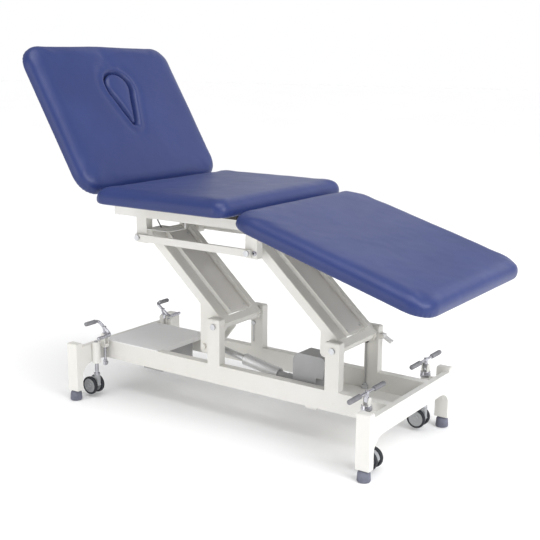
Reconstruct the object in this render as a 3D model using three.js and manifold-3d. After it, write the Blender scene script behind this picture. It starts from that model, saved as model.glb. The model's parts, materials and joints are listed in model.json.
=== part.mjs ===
// Three-section electric treatment table with a parallelogram lift.
// Millimetres. +X towards the foot end, +Y away from the side with the actuator, +Z up.
// Plan positions are measured from the middle of the base; the finished group is then
// moved so that the origin lies under the middle of the whole table.

import * as THREE from 'three';
import { mergeVertices } from 'three/addons/utils/BufferGeometryUtils.js';
import Module from 'manifold-3d';

const wasm = await Module();
wasm.setup();

// ---------------------------------------------------------------- driving dimensions

const MIDDLE_X = 41.2;           // middle of the whole table, from the middle of the base

const LEG_X = 588;              // leg centres
const LEG_Y = 267;
const LEG_LENGTH_X = 46;
const LEG_LENGTH_Y = 27;
const LEG_TOP = 207;
const FOOT_HEIGHT = 36;
const FOOT_RADIUS = 21;

const RAIL_BOTTOM = 131;        // base side rails
const RAIL_TOP = 196;
const RAIL_INNER_Y = 110;
const RAIL_OUTER_Y = 140;
const ARCH_THICKNESS = 20;

const POST_LENGTH_X = 50;
const POST_TOP = 350;

const HEAD_PIVOT_X = -64;       // lower pivots of the two lift arms
const FOOT_PIVOT_X = 396;
const LOWER_PIVOT_Z = 326;
const ARM_LENGTH = 408;
const ARM_TILT = 42;            // degrees above level
const ARM_OUTER_Y = 107;
const ARM_INNER_Y = 57;
const ARM_BOTTOM = -8;          // beam depth, measured from the line between the pivots
const ARM_TOP = 22;

const SHAFT_RADIUS = 8;
const BORE_RADIUS = 8.4;
const SHAFT_SIDES = 16;

const CRANK_X = -70;            // crank pin of the head arm, from its lower pivot
const CRANK_Z = -86;
const ACTUATOR_Y = -66;
const ACTUATOR_PIVOT_X = 345;
const ACTUATOR_PIVOT_Z = 152;

const SEAT_RAIL_BOTTOM = 668;
const SEAT_RAIL_TOP = 718;
const SEAT_RAIL_INNER_Y = 127;
const SEAT_RAIL_OUTER_Y = 157;
const SEAT_RAIL_HEAD_X = -480;
const BRACKET_BEFORE = 14;      // hanging bracket, on each side of its pivot
const BRACKET_AFTER = 31;
const TIE_BAR_THICKNESS = 12;
const TIE_BAR_DEPTH = 24;

const CUSHION_HALF_WIDTH = 350;
const CUSHION_THICKNESS = 58;
const CUSHION_EDGE = 18;        // rounding of a cushion's edges
const SEAT_CORNER = 45;         // plan corners of the seat
const END_CORNER = 80;          // plan corners of the backrest and the leg section
const SEAT_CUSHION_BOTTOM = 732;
const SEAT_CUSHION_HEAD_X = -398;
const SEAT_CUSHION_FOOT_X = 136;
const BOARD_HALF_WIDTH = 250;

const BACK_HINGE_X = -432;
const BACK_HINGE_Z = 742;
const BACK_TILT = 58.7;         // degrees above level
const BACK_START = 13;          // cushion end, along the backrest from its hinge
const BACK_LENGTH = 556;
const BACK_UNDERSIDE = -10;     // cushion underside, above the hinge line

const LEG_HINGE_X = 89;
const LEG_HINGE_Z = 700;
const LEG_REST_TILT = 16.4;     // degrees below level
const LEG_REST_START = 53;
const LEG_REST_LENGTH = 679;
const LEG_REST_UNDERSIDE = 32;

const CASTOR_X = 552;
const CASTOR_Y = 197;
const PEDAL_PIVOT_Z = 221;
const CASTOR_WHEEL_RADIUS = 32.5;
const CASTOR_AXLE_Z = 41;
const CASTOR_TRAIL = 18;
const SLEEVE_RADIUS = 15;
const SLEEVE_BOTTOM = 126;
const SLEEVE_TOP = 204;
const STEM_RADIUS = 7;
const HEAD_PEDAL_X = -545;
const HEAD_PEDAL_Y = 160;
const HEAD_PEDAL_LIFT = 27;
const FOOT_PEDAL_LIFT = 22;
const GRIP_LENGTH = 65;
const FORK_INNER = 8;           // cheeks of the pedal forks, from the middle of the pedal
const FORK_OUTER = 11;
const FORK_RADIUS = 9;

const degrees = (angle) => angle * Math.PI / 180;

// ---------------------------------------------------------------- materials

const paint = (color, roughness, metalness) =>
  new THREE.MeshStandardMaterial({ color, roughness, metalness });
const cream = paint(0xe3e1dc, 0.45, 0.1);
const plateGrey = paint(0xc9c9c9, 0.5, 0.1);
const panelGrey = paint(0x8f8b86, 0.6, 0.1);
const vinyl = paint(0x2c3a7c, 0.45, 0);
const rubber = paint(0x3a3d4c, 0.85, 0);
const tyre = paint(0x3d444c, 0.8, 0);
const wheelGrey = paint(0xa5a8ab, 0.5, 0);
const chrome = paint(0xd8d8dc, 0.15, 1);
const motorGrey = paint(0x8d8e90, 0.6, 0);
const aluminium = paint(0xc4c5c9, 0.35, 0.9);
const cableGrey = paint(0x77777a, 0.6, 0);
const boardWood = paint(0x8a6f4d, 0.8, 0);

// ---------------------------------------------------------------- geometry helpers

function boxBetween(x0, x1, y0, y1, z0, z1) {
  const geometry = new THREE.BoxGeometry(x1 - x0, y1 - y0, z1 - z0);
  geometry.translate((x0 + x1) / 2, (y0 + y1) / 2, (z0 + z1) / 2);
  return geometry;
}

function rodAlongY(radius, x, z, y0, y1, sides = SHAFT_SIDES) {
  const geometry = new THREE.CylinderGeometry(radius, radius, y1 - y0, sides);
  geometry.translate(x, (y0 + y1) / 2, z);
  return geometry;
}

function rodAlongX(radius, y, z, x0, x1, sides = SHAFT_SIDES) {
  const geometry = new THREE.CylinderGeometry(radius, radius, x1 - x0, sides);
  geometry.rotateZ(Math.PI / 2);
  geometry.translate((x0 + x1) / 2, y, z);
  return geometry;
}

function rodAlongZ(radius, x, y, z0, z1, sides = SHAFT_SIDES) {
  const geometry = new THREE.CylinderGeometry(radius, radius, z1 - z0, sides);
  geometry.rotateX(Math.PI / 2);
  geometry.translate(x, y, (z0 + z1) / 2);
  return geometry;
}

// A profile of [radius, z] points that starts and ends on the axis, turned about Z.
function turned(profile, sides = SHAFT_SIDES) {
  const points = profile.map(([radius, z]) => new THREE.Vector2(radius, z));
  const geometry = new THREE.LatheGeometry(points, sides);
  geometry.rotateX(Math.PI / 2);
  return geometry;
}

// An outline in X and Z, given as a THREE.Shape, with its thickness along Y.
function plateXZ(shape, y0, y1, curveSegments = 8) {
  const depth = y1 - y0;
  const geometry = new THREE.ExtrudeGeometry(shape, { depth, bevelEnabled: false, curveSegments });
  geometry.rotateX(Math.PI / 2);
  geometry.translate(0, y1, 0);
  return geometry;
}

// An outline in Y and Z with its thickness along X.
function plateYZ(shape, x0, x1, curveSegments = 8) {
  const depth = x1 - x0;
  const geometry = new THREE.ExtrudeGeometry(shape, { depth, bevelEnabled: false, curveSegments });
  geometry.rotateZ(Math.PI / 2);
  geometry.rotateY(Math.PI / 2);
  geometry.translate(x0, 0, 0);
  return geometry;
}

function bentRod(points, radius, steps, sides = 10) {
  const shape = new THREE.Shape();
  shape.absarc(0, 0, radius, 0, 2 * Math.PI);
  const path = new THREE.CatmullRomCurve3(points.map((point) => new THREE.Vector3(...point)));
  return new THREE.ExtrudeGeometry(shape, { steps, extrudePath: path, curveSegments: sides });
}

function toSolid(geometry) {
  const bare = geometry.clone();
  bare.deleteAttribute('normal');
  bare.deleteAttribute('uv');
  const merged = mergeVertices(bare, 1e-4);
  return new wasm.Manifold(new wasm.Mesh({
    numProp: 3,
    vertProperties: new Float32Array(merged.attributes.position.array),
    triVerts: new Uint32Array(merged.index.array),
  }));
}

function toGeometry(solid) {
  const mesh = solid.getMesh();
  const geometry = new THREE.BufferGeometry();
  geometry.setAttribute('position', new THREE.BufferAttribute(new Float32Array(mesh.vertProperties), 3));
  geometry.setIndex(new THREE.BufferAttribute(new Uint32Array(mesh.triVerts), 1));
  geometry.computeVertexNormals();
  return geometry;
}

function shaped(added, removed = []) {
  let solid = toSolid(added[0]);
  for (const geometry of added.slice(1)) solid = solid.add(toSolid(geometry));
  for (const geometry of removed) solid = solid.subtract(toSolid(geometry));
  return toGeometry(solid);
}

// A convex slab with rounded corners in plan and rounded edges, its underside at z0.
function cushionSlab(x0, x1, halfWidth, z0, thickness, cornerRadius, edgeRadius) {
  const edgeSteps = 3;
  const shape = new THREE.Shape();
  const inset = edgeRadius;
  const left = x0 + inset;
  const right = x1 - inset;
  const side = halfWidth - inset;
  const corner = cornerRadius - inset;
  shape.moveTo(left + corner, -side);
  shape.lineTo(right - corner, -side);
  shape.absarc(right - corner, -side + corner, corner, -Math.PI / 2, 0, false);
  shape.lineTo(right, side - corner);
  shape.absarc(right - corner, side - corner, corner, 0, Math.PI / 2, false);
  shape.lineTo(left + corner, side);
  shape.absarc(left + corner, side - corner, corner, Math.PI / 2, Math.PI, false);
  shape.lineTo(left, -side + corner);
  shape.absarc(left + corner, -side + corner, corner, Math.PI, 1.5 * Math.PI, false);
  const geometry = new THREE.ExtrudeGeometry(shape, {
    depth: thickness - 2 * edgeRadius,
    bevelEnabled: true,
    bevelThickness: edgeRadius,
    bevelSize: edgeRadius,
    bevelSegments: edgeSteps,
    curveSegments: 5,
  });
  geometry.translate(0, 0, z0 + edgeRadius);
  return geometry;
}

// ---------------------------------------------------------------- the scene graph

const table = new THREE.Group();
table.position.set(-MIDDLE_X, 0, 0);

function place(name, geometry, material, parent = table) {
  const mesh = new THREE.Mesh(geometry, material);
  mesh.name = name;
  parent.add(mesh);
  return mesh;
}

function tiltedGroup(x, y, z, degreesAboutY) {
  const group = new THREE.Group();
  group.position.set(x, y, z);
  group.rotation.y = degrees(degreesAboutY);
  table.add(group);
  return group;
}

const ends = [['head', -1], ['foot', 1]];
const sides = [['near', -1], ['far', 1]];

// Lowest and highest of two Y values on one side of the table.
const onSide = (side, inner, outer) => side < 0 ? [-outer, -inner] : [inner, outer];

// ---------------------------------------------------------------- base

const railStart = -LEG_X + LEG_LENGTH_X / 2;
const railEnd = LEG_X + LEG_LENGTH_X / 2 - ARCH_THICKNESS;

function archOutline() {
  const half = LEG_Y - LEG_LENGTH_Y / 2 + 4;
  const haunchFoot = 84;
  const crown = 190;
  const shape = new THREE.Shape();
  shape.moveTo(-half, RAIL_TOP);
  shape.lineTo(-half, haunchFoot);
  shape.quadraticCurveTo(-half + 12, RAIL_BOTTOM, -crown, RAIL_BOTTOM);
  shape.lineTo(crown, RAIL_BOTTOM);
  shape.quadraticCurveTo(half - 12, RAIL_BOTTOM, half, haunchFoot);
  shape.lineTo(half, RAIL_TOP);
  shape.closePath();
  return shape;
}

// The outline of one cheek of a pedal fork, standing on bottomZ with the pin at the top.
function forkCheek(bottomZ) {
  const shape = new THREE.Shape();
  shape.moveTo(-FORK_RADIUS, bottomZ);
  shape.lineTo(FORK_RADIUS, bottomZ);
  shape.lineTo(FORK_RADIUS, PEDAL_PIVOT_Z);
  shape.absarc(0, PEDAL_PIVOT_Z, FORK_RADIUS, 0, Math.PI, false);
  shape.closePath();
  return shape;
}

// A bracket on the arch plate, with two cheeks and a pin for the head pedal.
function headPedalFork(side) {
  const archInnerX = -LEG_X + LEG_LENGTH_X / 2;
  const outline = forkCheek(RAIL_TOP - 8);
  const fork = [
    plateXZ(outline, -FORK_OUTER, -FORK_INNER, 5),
    plateXZ(outline, FORK_INNER, FORK_OUTER, 5),
    rodAlongY(3, 0, PEDAL_PIVOT_Z, -FORK_OUTER + 1, FORK_OUTER - 1, 12),
    boxBetween(archInnerX - 4 - HEAD_PEDAL_X, 10, -FORK_OUTER, FORK_OUTER, RAIL_TOP - 18, RAIL_TOP - 6),
  ];
  for (const geometry of fork) geometry.translate(HEAD_PEDAL_X, side * HEAD_PEDAL_Y, 0);
  return fork;
}

// At the foot end the cheeks stand on the castor sleeve itself.
function footPedalFork(side) {
  const outline = forkCheek(SLEEVE_TOP - 1);
  const fork = [
    plateYZ(outline, -FORK_OUTER, -FORK_INNER, 5),
    plateYZ(outline, FORK_INNER, FORK_OUTER, 5),
    rodAlongX(3, 0, PEDAL_PIVOT_Z, -FORK_OUTER + 1, FORK_OUTER - 1, 12),
  ];
  for (const geometry of fork) geometry.translate(CASTOR_X, side * CASTOR_Y, 0);
  return fork;
}

// The foot end frame's cross plate lies between the rails and carries the actuator's lugs.
function footCrossPlate() {
  const half = RAIL_INNER_Y - 0.2;
  const plate = boxBetween(318, railEnd + 2, -half, half, RAIL_BOTTOM, RAIL_BOTTOM + 4);
  const lug = (y0, y1) => {
    const shape = new THREE.Shape();
    shape.moveTo(ACTUATOR_PIVOT_X - 18, RAIL_BOTTOM + 2);
    shape.lineTo(ACTUATOR_PIVOT_X + 18, RAIL_BOTTOM + 2);
    shape.lineTo(ACTUATOR_PIVOT_X + 12, ACTUATOR_PIVOT_Z);
    shape.absarc(ACTUATOR_PIVOT_X, ACTUATOR_PIVOT_Z, 12, 0, Math.PI, false);
    shape.closePath();
    return plateXZ(shape, y0, y1);
  };
  const pin = rodAlongY(5, ACTUATOR_PIVOT_X, ACTUATOR_PIVOT_Z, ACTUATOR_Y - 18, ACTUATOR_Y + 18, 16);
  const bar = boxBetween(284, 324, -half, half, RAIL_BOTTOM - 19, RAIL_BOTTOM + 2);
  const lugs = [lug(ACTUATOR_Y - 18, ACTUATOR_Y - 13), lug(ACTUATOR_Y + 13, ACTUATOR_Y + 18)];
  return [plate, bar, ...lugs, pin];
}

// Webs that join the foot end's sleeves to the arch plate.
function footSleeveWebs() {
  const archInnerX = LEG_X + LEG_LENGTH_X / 2 - ARCH_THICKNESS;
  return sides.map(([, side]) => boxBetween(
    CASTOR_X + STEM_RADIUS + 3, archInnerX + 4,
    side * CASTOR_Y - 6, side * CASTOR_Y + 6, SLEEVE_BOTTOM + 14, SLEEVE_TOP - 14));
}

// Both end frames are weldments: their arch plates are flush with the +X faces of the legs.
function endFrame(end) {
  const legs = sides.map(([, side]) => boxBetween(
    end * LEG_X - LEG_LENGTH_X / 2, end * LEG_X + LEG_LENGTH_X / 2,
    side * LEG_Y - LEG_LENGTH_Y / 2, side * LEG_Y + LEG_LENGTH_Y / 2,
    FOOT_HEIGHT, LEG_TOP));
  const archOuterX = end * LEG_X + LEG_LENGTH_X / 2;
  const arch = plateYZ(archOutline(), archOuterX - ARCH_THICKNESS, archOuterX);
  const sleeveX = end * CASTOR_X;
  const sleeves = sides.map(([, side]) =>
    rodAlongZ(SLEEVE_RADIUS, sleeveX, side * CASTOR_Y, SLEEVE_BOTTOM, SLEEVE_TOP));
  const added = [arch, ...legs, ...sleeves];
  if (end > 0) added.push(...footSleeveWebs(), ...footCrossPlate());
  for (const [, side] of sides) added.push(...(end > 0 ? footPedalFork(side) : headPedalFork(side)));
  const bores = sides.map(([, side]) =>
    rodAlongZ(STEM_RADIUS + 0.5, sleeveX, side * CASTOR_Y, SLEEVE_BOTTOM - 2, SLEEVE_TOP + 2));
  return shaped(added, bores);
}

for (const [name, end] of ends) place(`${name}_end_frame`, endFrame(end), cream);

function rubberFoot() {
  return turned([
    [0, 0], [FOOT_RADIUS - 2, 0], [FOOT_RADIUS, 3], [FOOT_RADIUS - 1, FOOT_HEIGHT - 8],
    [FOOT_RADIUS - 5, FOOT_HEIGHT - 3], [FOOT_RADIUS - 8, FOOT_HEIGHT - 0.3], [0, FOOT_HEIGHT - 0.3],
  ]);
}

for (const [endName, end] of ends) {
  for (const [sideName, side] of sides) {
    const foot = place(`rubber_foot_${endName}_${sideName}`, rubberFoot(), rubber);
    foot.position.set(end * LEG_X, side * LEG_Y, 0);
  }
}

for (const [name, side] of sides) {
  const [y0, y1] = onSide(side, RAIL_INNER_Y, RAIL_OUTER_Y);
  place(`${name}_side_rail`, boxBetween(railStart, railEnd, y0, y1, RAIL_BOTTOM, RAIL_TOP), cream);
}

const LEVER_X = FOOT_PIVOT_X + POST_LENGTH_X / 2 + 10;
const LEVER_Y = (RAIL_INNER_Y + RAIL_OUTER_Y) / 2;
const LEVER_Z = 320;
const LEVER_LENGTH = 36;
const LEVER_SLOPE = 27;         // degrees below level

// The cheeks and pin that carry the small lever on the foot end's far post.
function leverFork() {
  const cheek = (y0, y1) => {
    const shape = new THREE.Shape();
    shape.moveTo(LEVER_X - 12, LEVER_Z - 7);
    shape.lineTo(LEVER_X, LEVER_Z - 7);
    shape.absarc(LEVER_X, LEVER_Z, 7, -Math.PI / 2, Math.PI / 2, false);
    shape.lineTo(LEVER_X - 12, LEVER_Z + 7);
    shape.closePath();
    return plateXZ(shape, y0, y1, 5);
  };
  const pin = rodAlongY(3, LEVER_X, LEVER_Z, LEVER_Y - 13, LEVER_Y + 13, 12);
  return [cheek(LEVER_Y - 14, LEVER_Y - 11), cheek(LEVER_Y + 11, LEVER_Y + 14), pin];
}

const lowerPivots = [['head', HEAD_PIVOT_X], ['foot', FOOT_PIVOT_X]];
for (const [endName, pivotX] of lowerPivots) {
  for (const [sideName, side] of sides) {
    const [y0, y1] = onSide(side, RAIL_INNER_Y, RAIL_OUTER_Y);
    const post = [boxBetween(
      pivotX - POST_LENGTH_X / 2, pivotX + POST_LENGTH_X / 2, y0, y1, RAIL_TOP, POST_TOP)];
    if (endName === 'foot' && side > 0) post.push(...leverFork());
    const bore = rodAlongY(BORE_RADIUS, pivotX, LOWER_PIVOT_Z, y0 - 2, y1 + 2);
    place(`post_${endName}_${sideName}`, shaped(post, [bore]), cream);
  }
  const headRadius = 10;
  const headThickness = 6;
  const shaft = shaped([
    rodAlongY(SHAFT_RADIUS, pivotX, LOWER_PIVOT_Z, -RAIL_OUTER_Y - 1, RAIL_OUTER_Y + 1),
    rodAlongY(headRadius, pivotX, LOWER_PIVOT_Z, RAIL_OUTER_Y + 0.3, RAIL_OUTER_Y + headThickness),
    rodAlongY(headRadius, pivotX, LOWER_PIVOT_Z, -RAIL_OUTER_Y - headThickness, -RAIL_OUTER_Y - 0.3),
  ]);
  place(`${endName}_lower_pivot_shaft`, shaft, chrome);
}

// The shelf lies on the rails at the head end, with a folded lip towards the lift.
function shelfCover() {
  const end = -313;
  const sheet = boxBetween(railStart + 1, end, -RAIL_OUTER_Y, RAIL_OUTER_Y, RAIL_TOP, RAIL_TOP + 3);
  const lip = boxBetween(end - 3, end, -RAIL_INNER_Y + 1, RAIL_INNER_Y - 1, RAIL_TOP - 14, RAIL_TOP + 3);
  return shaped([sheet, lip]);
}
place('shelf_cover', shelfCover(), plateGrey);

// The control box hangs between the rails under the shelf, with the mains inlet in its near end.
function controlBox() {
  const box = boxBetween(-406, -319, -107, 62, 112, RAIL_TOP - 0.3);
  const inletRecess = boxBetween(-414, -396, -44, -16, 138, 162);
  return shaped([box], [inletRecess]);
}
place('control_box', controlBox(), motorGrey);

// The cable of the actuator runs down the inner face of the foot end's far post.
const cableX = FOOT_PIVOT_X - POST_LENGTH_X / 2 + 9;
const cableY = RAIL_INNER_Y - 3.2;
place('post_cable', bentRod([
  [cableX, cableY, 302], [cableX - 1, cableY, 262], [cableX + 1, cableY, 222],
  [cableX, cableY, 182], [cableX, cableY, 140],
], 2.8, 12, 4), cableGrey);

// The lever turns about a pin in the fork of the foot end's far post.
function heightLever() {
  const hub = rodAlongY(8, 0, 0, -10.5, 10.5, 16);
  const paddle = boxBetween(0, LEVER_LENGTH, -10.5, 10.5, -3.5, 3.5);
  paddle.rotateY(degrees(LEVER_SLOPE));
  return shaped([hub, paddle], [rodAlongY(3.4, 0, 0, -20, 20, 12)]);
}
place('height_lever', heightLever(), motorGrey).position.set(LEVER_X, LEVER_Y, LEVER_Z);

// ---------------------------------------------------------------- castors and their pedals

// The stem slides in its sleeve; a collar under the sleeve carries it when it is drawn up.
function castorStem() {
  const bottom = CASTOR_AXLE_Z + 41;
  return turned([
    [0, bottom], [STEM_RADIUS + 4, bottom], [STEM_RADIUS + 4, bottom + 6], [STEM_RADIUS, bottom + 8],
    [STEM_RADIUS, SLEEVE_TOP + 0.5], [STEM_RADIUS - 1.5, SLEEVE_TOP + 2], [0, SLEEVE_TOP + 2],
  ], 20);
}

// The hood is seen from the side as a round fender over the wheels, with a neck up to the stem.
function castorHood(away) {
  const axleX = away * CASTOR_TRAIL;
  const shape = new THREE.Shape();
  const hoodRadius = CASTOR_WHEEL_RADIUS - 4;
  shape.moveTo(axleX - away * hoodRadius, CASTOR_AXLE_Z);
  shape.absarc(axleX, CASTOR_AXLE_Z, hoodRadius, away > 0 ? Math.PI : 0, away > 0 ? 0 : Math.PI, away > 0);
  shape.closePath();
  const fender = plateXZ(shape, -8, 8);
  const shank = boxBetween(-9, 9, -8, 8, CASTOR_AXLE_Z + 6, CASTOR_AXLE_Z + 29);
  const neck = rodAlongZ(11, 0, 0, CASTOR_AXLE_Z + 27, CASTOR_AXLE_Z + 40.6);
  const axleBore = rodAlongY(5.6, axleX, CASTOR_AXLE_Z, -30, 30, 16);
  return shaped([fender, shank, neck], [axleBore]);
}

function castorWheels() {
  const width = 14;
  const gap = 10;
  const tread = (from, to) => {
    const points = [
      [0, from], [CASTOR_WHEEL_RADIUS - 3, from], [CASTOR_WHEEL_RADIUS, from + 3],
      [CASTOR_WHEEL_RADIUS, to - 3], [CASTOR_WHEEL_RADIUS - 3, to], [0, to],
    ];
    const geometry = turned(points, 22);
    geometry.rotateX(Math.PI / 2);
    return geometry;
  };
  const axle = rodAlongY(5, 0, 0, -gap - 4, gap + 4, 16);
  return shaped([tread(gap, gap + width), tread(-gap - width, -gap), axle]);
}

// A pedal is a post with a cross bar and two rubber grips. The head end's bars run along the
// table, tilted, with their grips pointing outwards; the foot end's run across the table.

// A block with a bore for the hinge pin, and the post that stands on it.
function pedalPost(postRadius, lift, alongY) {
  const block = boxBetween(-6.5, 6.5, -6.5, 6.5, -6, 10);
  const post = rodAlongZ(postRadius, 0, 0, 6, lift, 12);
  const bore = alongY ? rodAlongY(3.4, 0, 0, -9, 9, 12) : rodAlongX(3.4, 0, 0, -9, 9, 12);
  return { added: [block, post], bore };
}

function headPedal(side) {
  const half = 30;
  const rise = 21.5;
  const { added, bore } = pedalPost(4.5, HEAD_PEDAL_LIFT, true);
  const lift = HEAD_PEDAL_LIFT;
  added.push(bentRod([[-half, 0, lift + rise], [0, 0, lift], [half, 0, lift - rise]], 4.5, 4, 3));
  for (const [x, z] of [[-half, lift + rise], [half, lift - rise]]) {
    const [y0, y1] = onSide(side, -5, GRIP_LENGTH);
    added.push(rodAlongY(7.5, x, z, y0, y1, 16));
  }
  return shaped(added, [bore]);
}

function footPedal() {
  const half = 108;
  const { added, bore } = pedalPost(6, FOOT_PEDAL_LIFT, false);
  added.push(rodAlongY(4.5, 0, FOOT_PEDAL_LIFT, -half + 10, half - 10, 12));
  for (const [, side] of sides) {
    const [y0, y1] = onSide(side, half - GRIP_LENGTH, half);
    added.push(rodAlongY(8, 0, FOOT_PEDAL_LIFT, y0, y1, 16));
  }
  return shaped(added, [bore]);
}

for (const [endName, end] of ends) {
  for (const [sideName, side] of sides) {
    const tag = `${endName}_${sideName}`;
    const x = end * CASTOR_X;
    const y = side * CASTOR_Y;
    const stem = place(`castor_stem_${tag}`, castorStem(), chrome);
    stem.position.set(x, y, 0);
    const trail = tag === 'foot_near' ? 1 : -1;
    const hood = place(`castor_hood_${tag}`, castorHood(trail), wheelGrey);
    hood.position.set(x, y, 0);
    const wheels = place(`castor_wheels_${tag}`, castorWheels(), tyre);
    wheels.position.set(x + trail * CASTOR_TRAIL, y, CASTOR_AXLE_Z);
    const pedal = place(`brake_pedal_${tag}`, end < 0 ? headPedal(side) : footPedal(), chrome);
    if (end < 0) pedal.position.set(HEAD_PEDAL_X, side * HEAD_PEDAL_Y, PEDAL_PIVOT_Z);
    else pedal.position.set(x, y, PEDAL_PIVOT_Z);
  }
}

// ---------------------------------------------------------------- lift arms

// The lobes hang straight down at rest, so they are drawn upright and turned into the arm's frame.
function armLobe(outline, y0, y1) {
  const shape = new THREE.Shape(outline.map(([x, z]) => new THREE.Vector2(x, z)));
  const geometry = plateXZ(shape, y0, y1);
  geometry.rotateY(-degrees(ARM_TILT));
  return geometry;
}

const crankLobe = [
  [-84, 70], [-84, -94], [-80, -106], [-70, -111], [-58, -108], [-47, -98],
  [20, -14], [22, 4], [12, 20], [-20, 48],
];
const crankPlate = [
  [-84, -40], [-84, -94], [-80, -106], [-70, -111], [-58, -108], [-47, -98], [20, -14], [12, 4], [-10, 10],
];
const idleLobe = [
  [-66, 52], [-66, -26], [-60, -34], [-50, -37], [-40, -35], [14, -18], [22, -2], [14, 18], [-16, 44],
];

function liftArm(nearLobe) {
  const added = [];
  for (const [, side] of sides) {
    const [y0, y1] = onSide(side, ARM_INNER_Y, ARM_OUTER_Y);
    added.push(boxBetween(-ARM_LENGTH - 15, 12, y0, y1, ARM_BOTTOM, ARM_TOP));
    const [lobeInner, lobeOuter] = onSide(side, 93, 103);
    added.push(armLobe(side < 0 ? nearLobe : idleLobe, lobeInner, lobeOuter));
  }
  const tubeRadius = 17;
  const tubeHalf = 109;
  added.push(rodAlongY(tubeRadius, 0, 0, -tubeHalf, tubeHalf));
  added.push(rodAlongY(tubeRadius, -ARM_LENGTH, 0, -tubeHalf, tubeHalf));
  added.push(boxBetween(-14, 12, -ARM_INNER_Y - 2, ARM_INNER_Y + 2, 4, ARM_TOP));
  const removed = [0, -ARM_LENGTH].map((x) => rodAlongY(BORE_RADIUS, x, 0, -120, 120));
  return { added, removed };
}

function headArm() {
  const { added, removed } = liftArm(crankLobe);
  added.push(armLobe(crankPlate, ACTUATOR_Y + 18, ACTUATOR_Y + 26));
  const tilt = degrees(ARM_TILT);
  const pinX = CRANK_X * Math.cos(tilt) - CRANK_Z * Math.sin(tilt);
  const pinZ = CRANK_X * Math.sin(tilt) + CRANK_Z * Math.cos(tilt);
  added.push(rodAlongY(6, pinX, pinZ, -104, ACTUATOR_Y + 20, 16));
  added.push(rodAlongY(10, pinX, pinZ, -109, -102, 16));
  return shaped(added, removed);
}

function footArm() {
  const { added, removed } = liftArm(idleLobe);
  return shaped(added, removed);
}

// A folded tray covers the space between the beams; its edges stand up along both sides.
function coverTray() {
  const from = -ARM_LENGTH + 24;
  const to = -16;
  const half = 62;
  const sheet = boxBetween(from, to, -half, half, ARM_TOP + 0.4, ARM_TOP + 3.4);
  const lips = sides.map(([, side]) => {
    const [y0, y1] = onSide(side, half - 4, half);
    return boxBetween(from, to, y0, y1, ARM_TOP + 0.4, ARM_TOP + 16);
  });
  return shaped([sheet, ...lips]);
}

const headArmGroup = tiltedGroup(HEAD_PIVOT_X, 0, LOWER_PIVOT_Z, ARM_TILT);
const footArmGroup = tiltedGroup(FOOT_PIVOT_X, 0, LOWER_PIVOT_Z, ARM_TILT);
place('head_lift_arm', headArm(), cream, headArmGroup);
place('head_arm_cover', coverTray(), panelGrey, headArmGroup);
place('foot_lift_arm', footArm(), cream, footArmGroup);
place('foot_arm_cover', coverTray(), panelGrey, footArmGroup);

// ---------------------------------------------------------------- actuator

const crankWorldX = HEAD_PIVOT_X + CRANK_X;
const crankWorldZ = LOWER_PIVOT_Z + CRANK_Z;
const actuatorRunX = ACTUATOR_PIVOT_X - crankWorldX;
const actuatorRise = crankWorldZ - ACTUATOR_PIVOT_Z;
const actuatorReach = Math.hypot(actuatorRunX, actuatorRise);
const actuatorTilt = Math.atan2(actuatorRise, actuatorRunX) * 180 / Math.PI;
const actuator = tiltedGroup(ACTUATOR_PIVOT_X, ACTUATOR_Y, ACTUATOR_PIVOT_Z, actuatorTilt);

const TUBE_RADIUS = 20;
const TUBE_BORE = 14;
const ROD_RADIUS = 11;
const TUBE_MOUTH = -336;
const TUBE_END = -142;

function actuatorTube() {
  const tube = rodAlongX(TUBE_RADIUS, 0, 0, TUBE_MOUTH, TUBE_END);
  return shaped([tube], [rodAlongX(TUBE_BORE, 0, 0, TUBE_MOUTH - 2, TUBE_END - 4)]);
}

// The motor housing stands level above the drive line, with a gear neck in front and an eye
// behind. Its outline is drawn level and turned into the actuator's frame.
function actuatorMotor() {
  const half = 36;
  const outline = new THREE.Shape();
  outline.moveTo(-116, 20);
  outline.lineTo(-30, 4);
  outline.lineTo(-28, 62);
  outline.lineTo(-2, 62);
  outline.lineTo(2, 118);
  outline.quadraticCurveTo(0, 130, -14, 132);
  outline.lineTo(-92, 134);
  outline.quadraticCurveTo(-114, 128, -116, 106);
  outline.closePath();
  const housing = plateXZ(outline, -half, half, 6);
  housing.rotateY(-degrees(actuatorTilt));
  const neck = rodAlongX(TUBE_RADIUS + 3, 0, 0, TUBE_END + 0.3, -100);
  const eye = rodAlongY(11, 0, 0, -12, 12, 20);
  const link = boxBetween(-60, 0, -9, 9, -9, 9);
  const bore = rodAlongY(5.5, 0, 0, -30, 30, 16);
  return shaped([housing, neck, eye, link], [bore]);
}

// The eye at the rod's end is a slot that leaves the crank pin room across the drive line.
function actuatorRod() {
  const tip = -actuatorReach;
  const rod = rodAlongX(ROD_RADIUS, 0, 0, tip + 18, -226);
  const cutCornered = (x0, x1, z0, z1, cut) => new THREE.Shape([
    [x0 + cut, z0], [x1 - cut, z0], [x1, z0 + cut], [x1, z1 - cut],
    [x1 - cut, z1], [x0 + cut, z1], [x0, z1 - cut], [x0, z0 + cut],
  ].map(([x, z]) => new THREE.Vector2(tip + x, z)));
  const block = cutCornered(-19, 26, -19, 31, 8);
  const slot = cutCornered(-7.5, 14.5, -7.5, 19.5, 3);
  return shaped([plateXZ(block, -13, 13), rod], [plateXZ(slot, -20, 20)]);
}

place('actuator_tube', actuatorTube(), aluminium, actuator);
place('actuator_motor', actuatorMotor(), motorGrey, actuator);
place('actuator_rod', actuatorRod(), chrome, actuator);

// ---------------------------------------------------------------- top frame

const armRunX = ARM_LENGTH * Math.cos(degrees(ARM_TILT));
const UPPER_PIVOT_Z = LOWER_PIVOT_Z + ARM_LENGTH * Math.sin(degrees(ARM_TILT));
const upperPivots = [['head', HEAD_PIVOT_X - armRunX], ['foot', FOOT_PIVOT_X - armRunX]];
const headUpperX = upperPivots[0][1];
const footUpperX = upperPivots[1][1];

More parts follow.
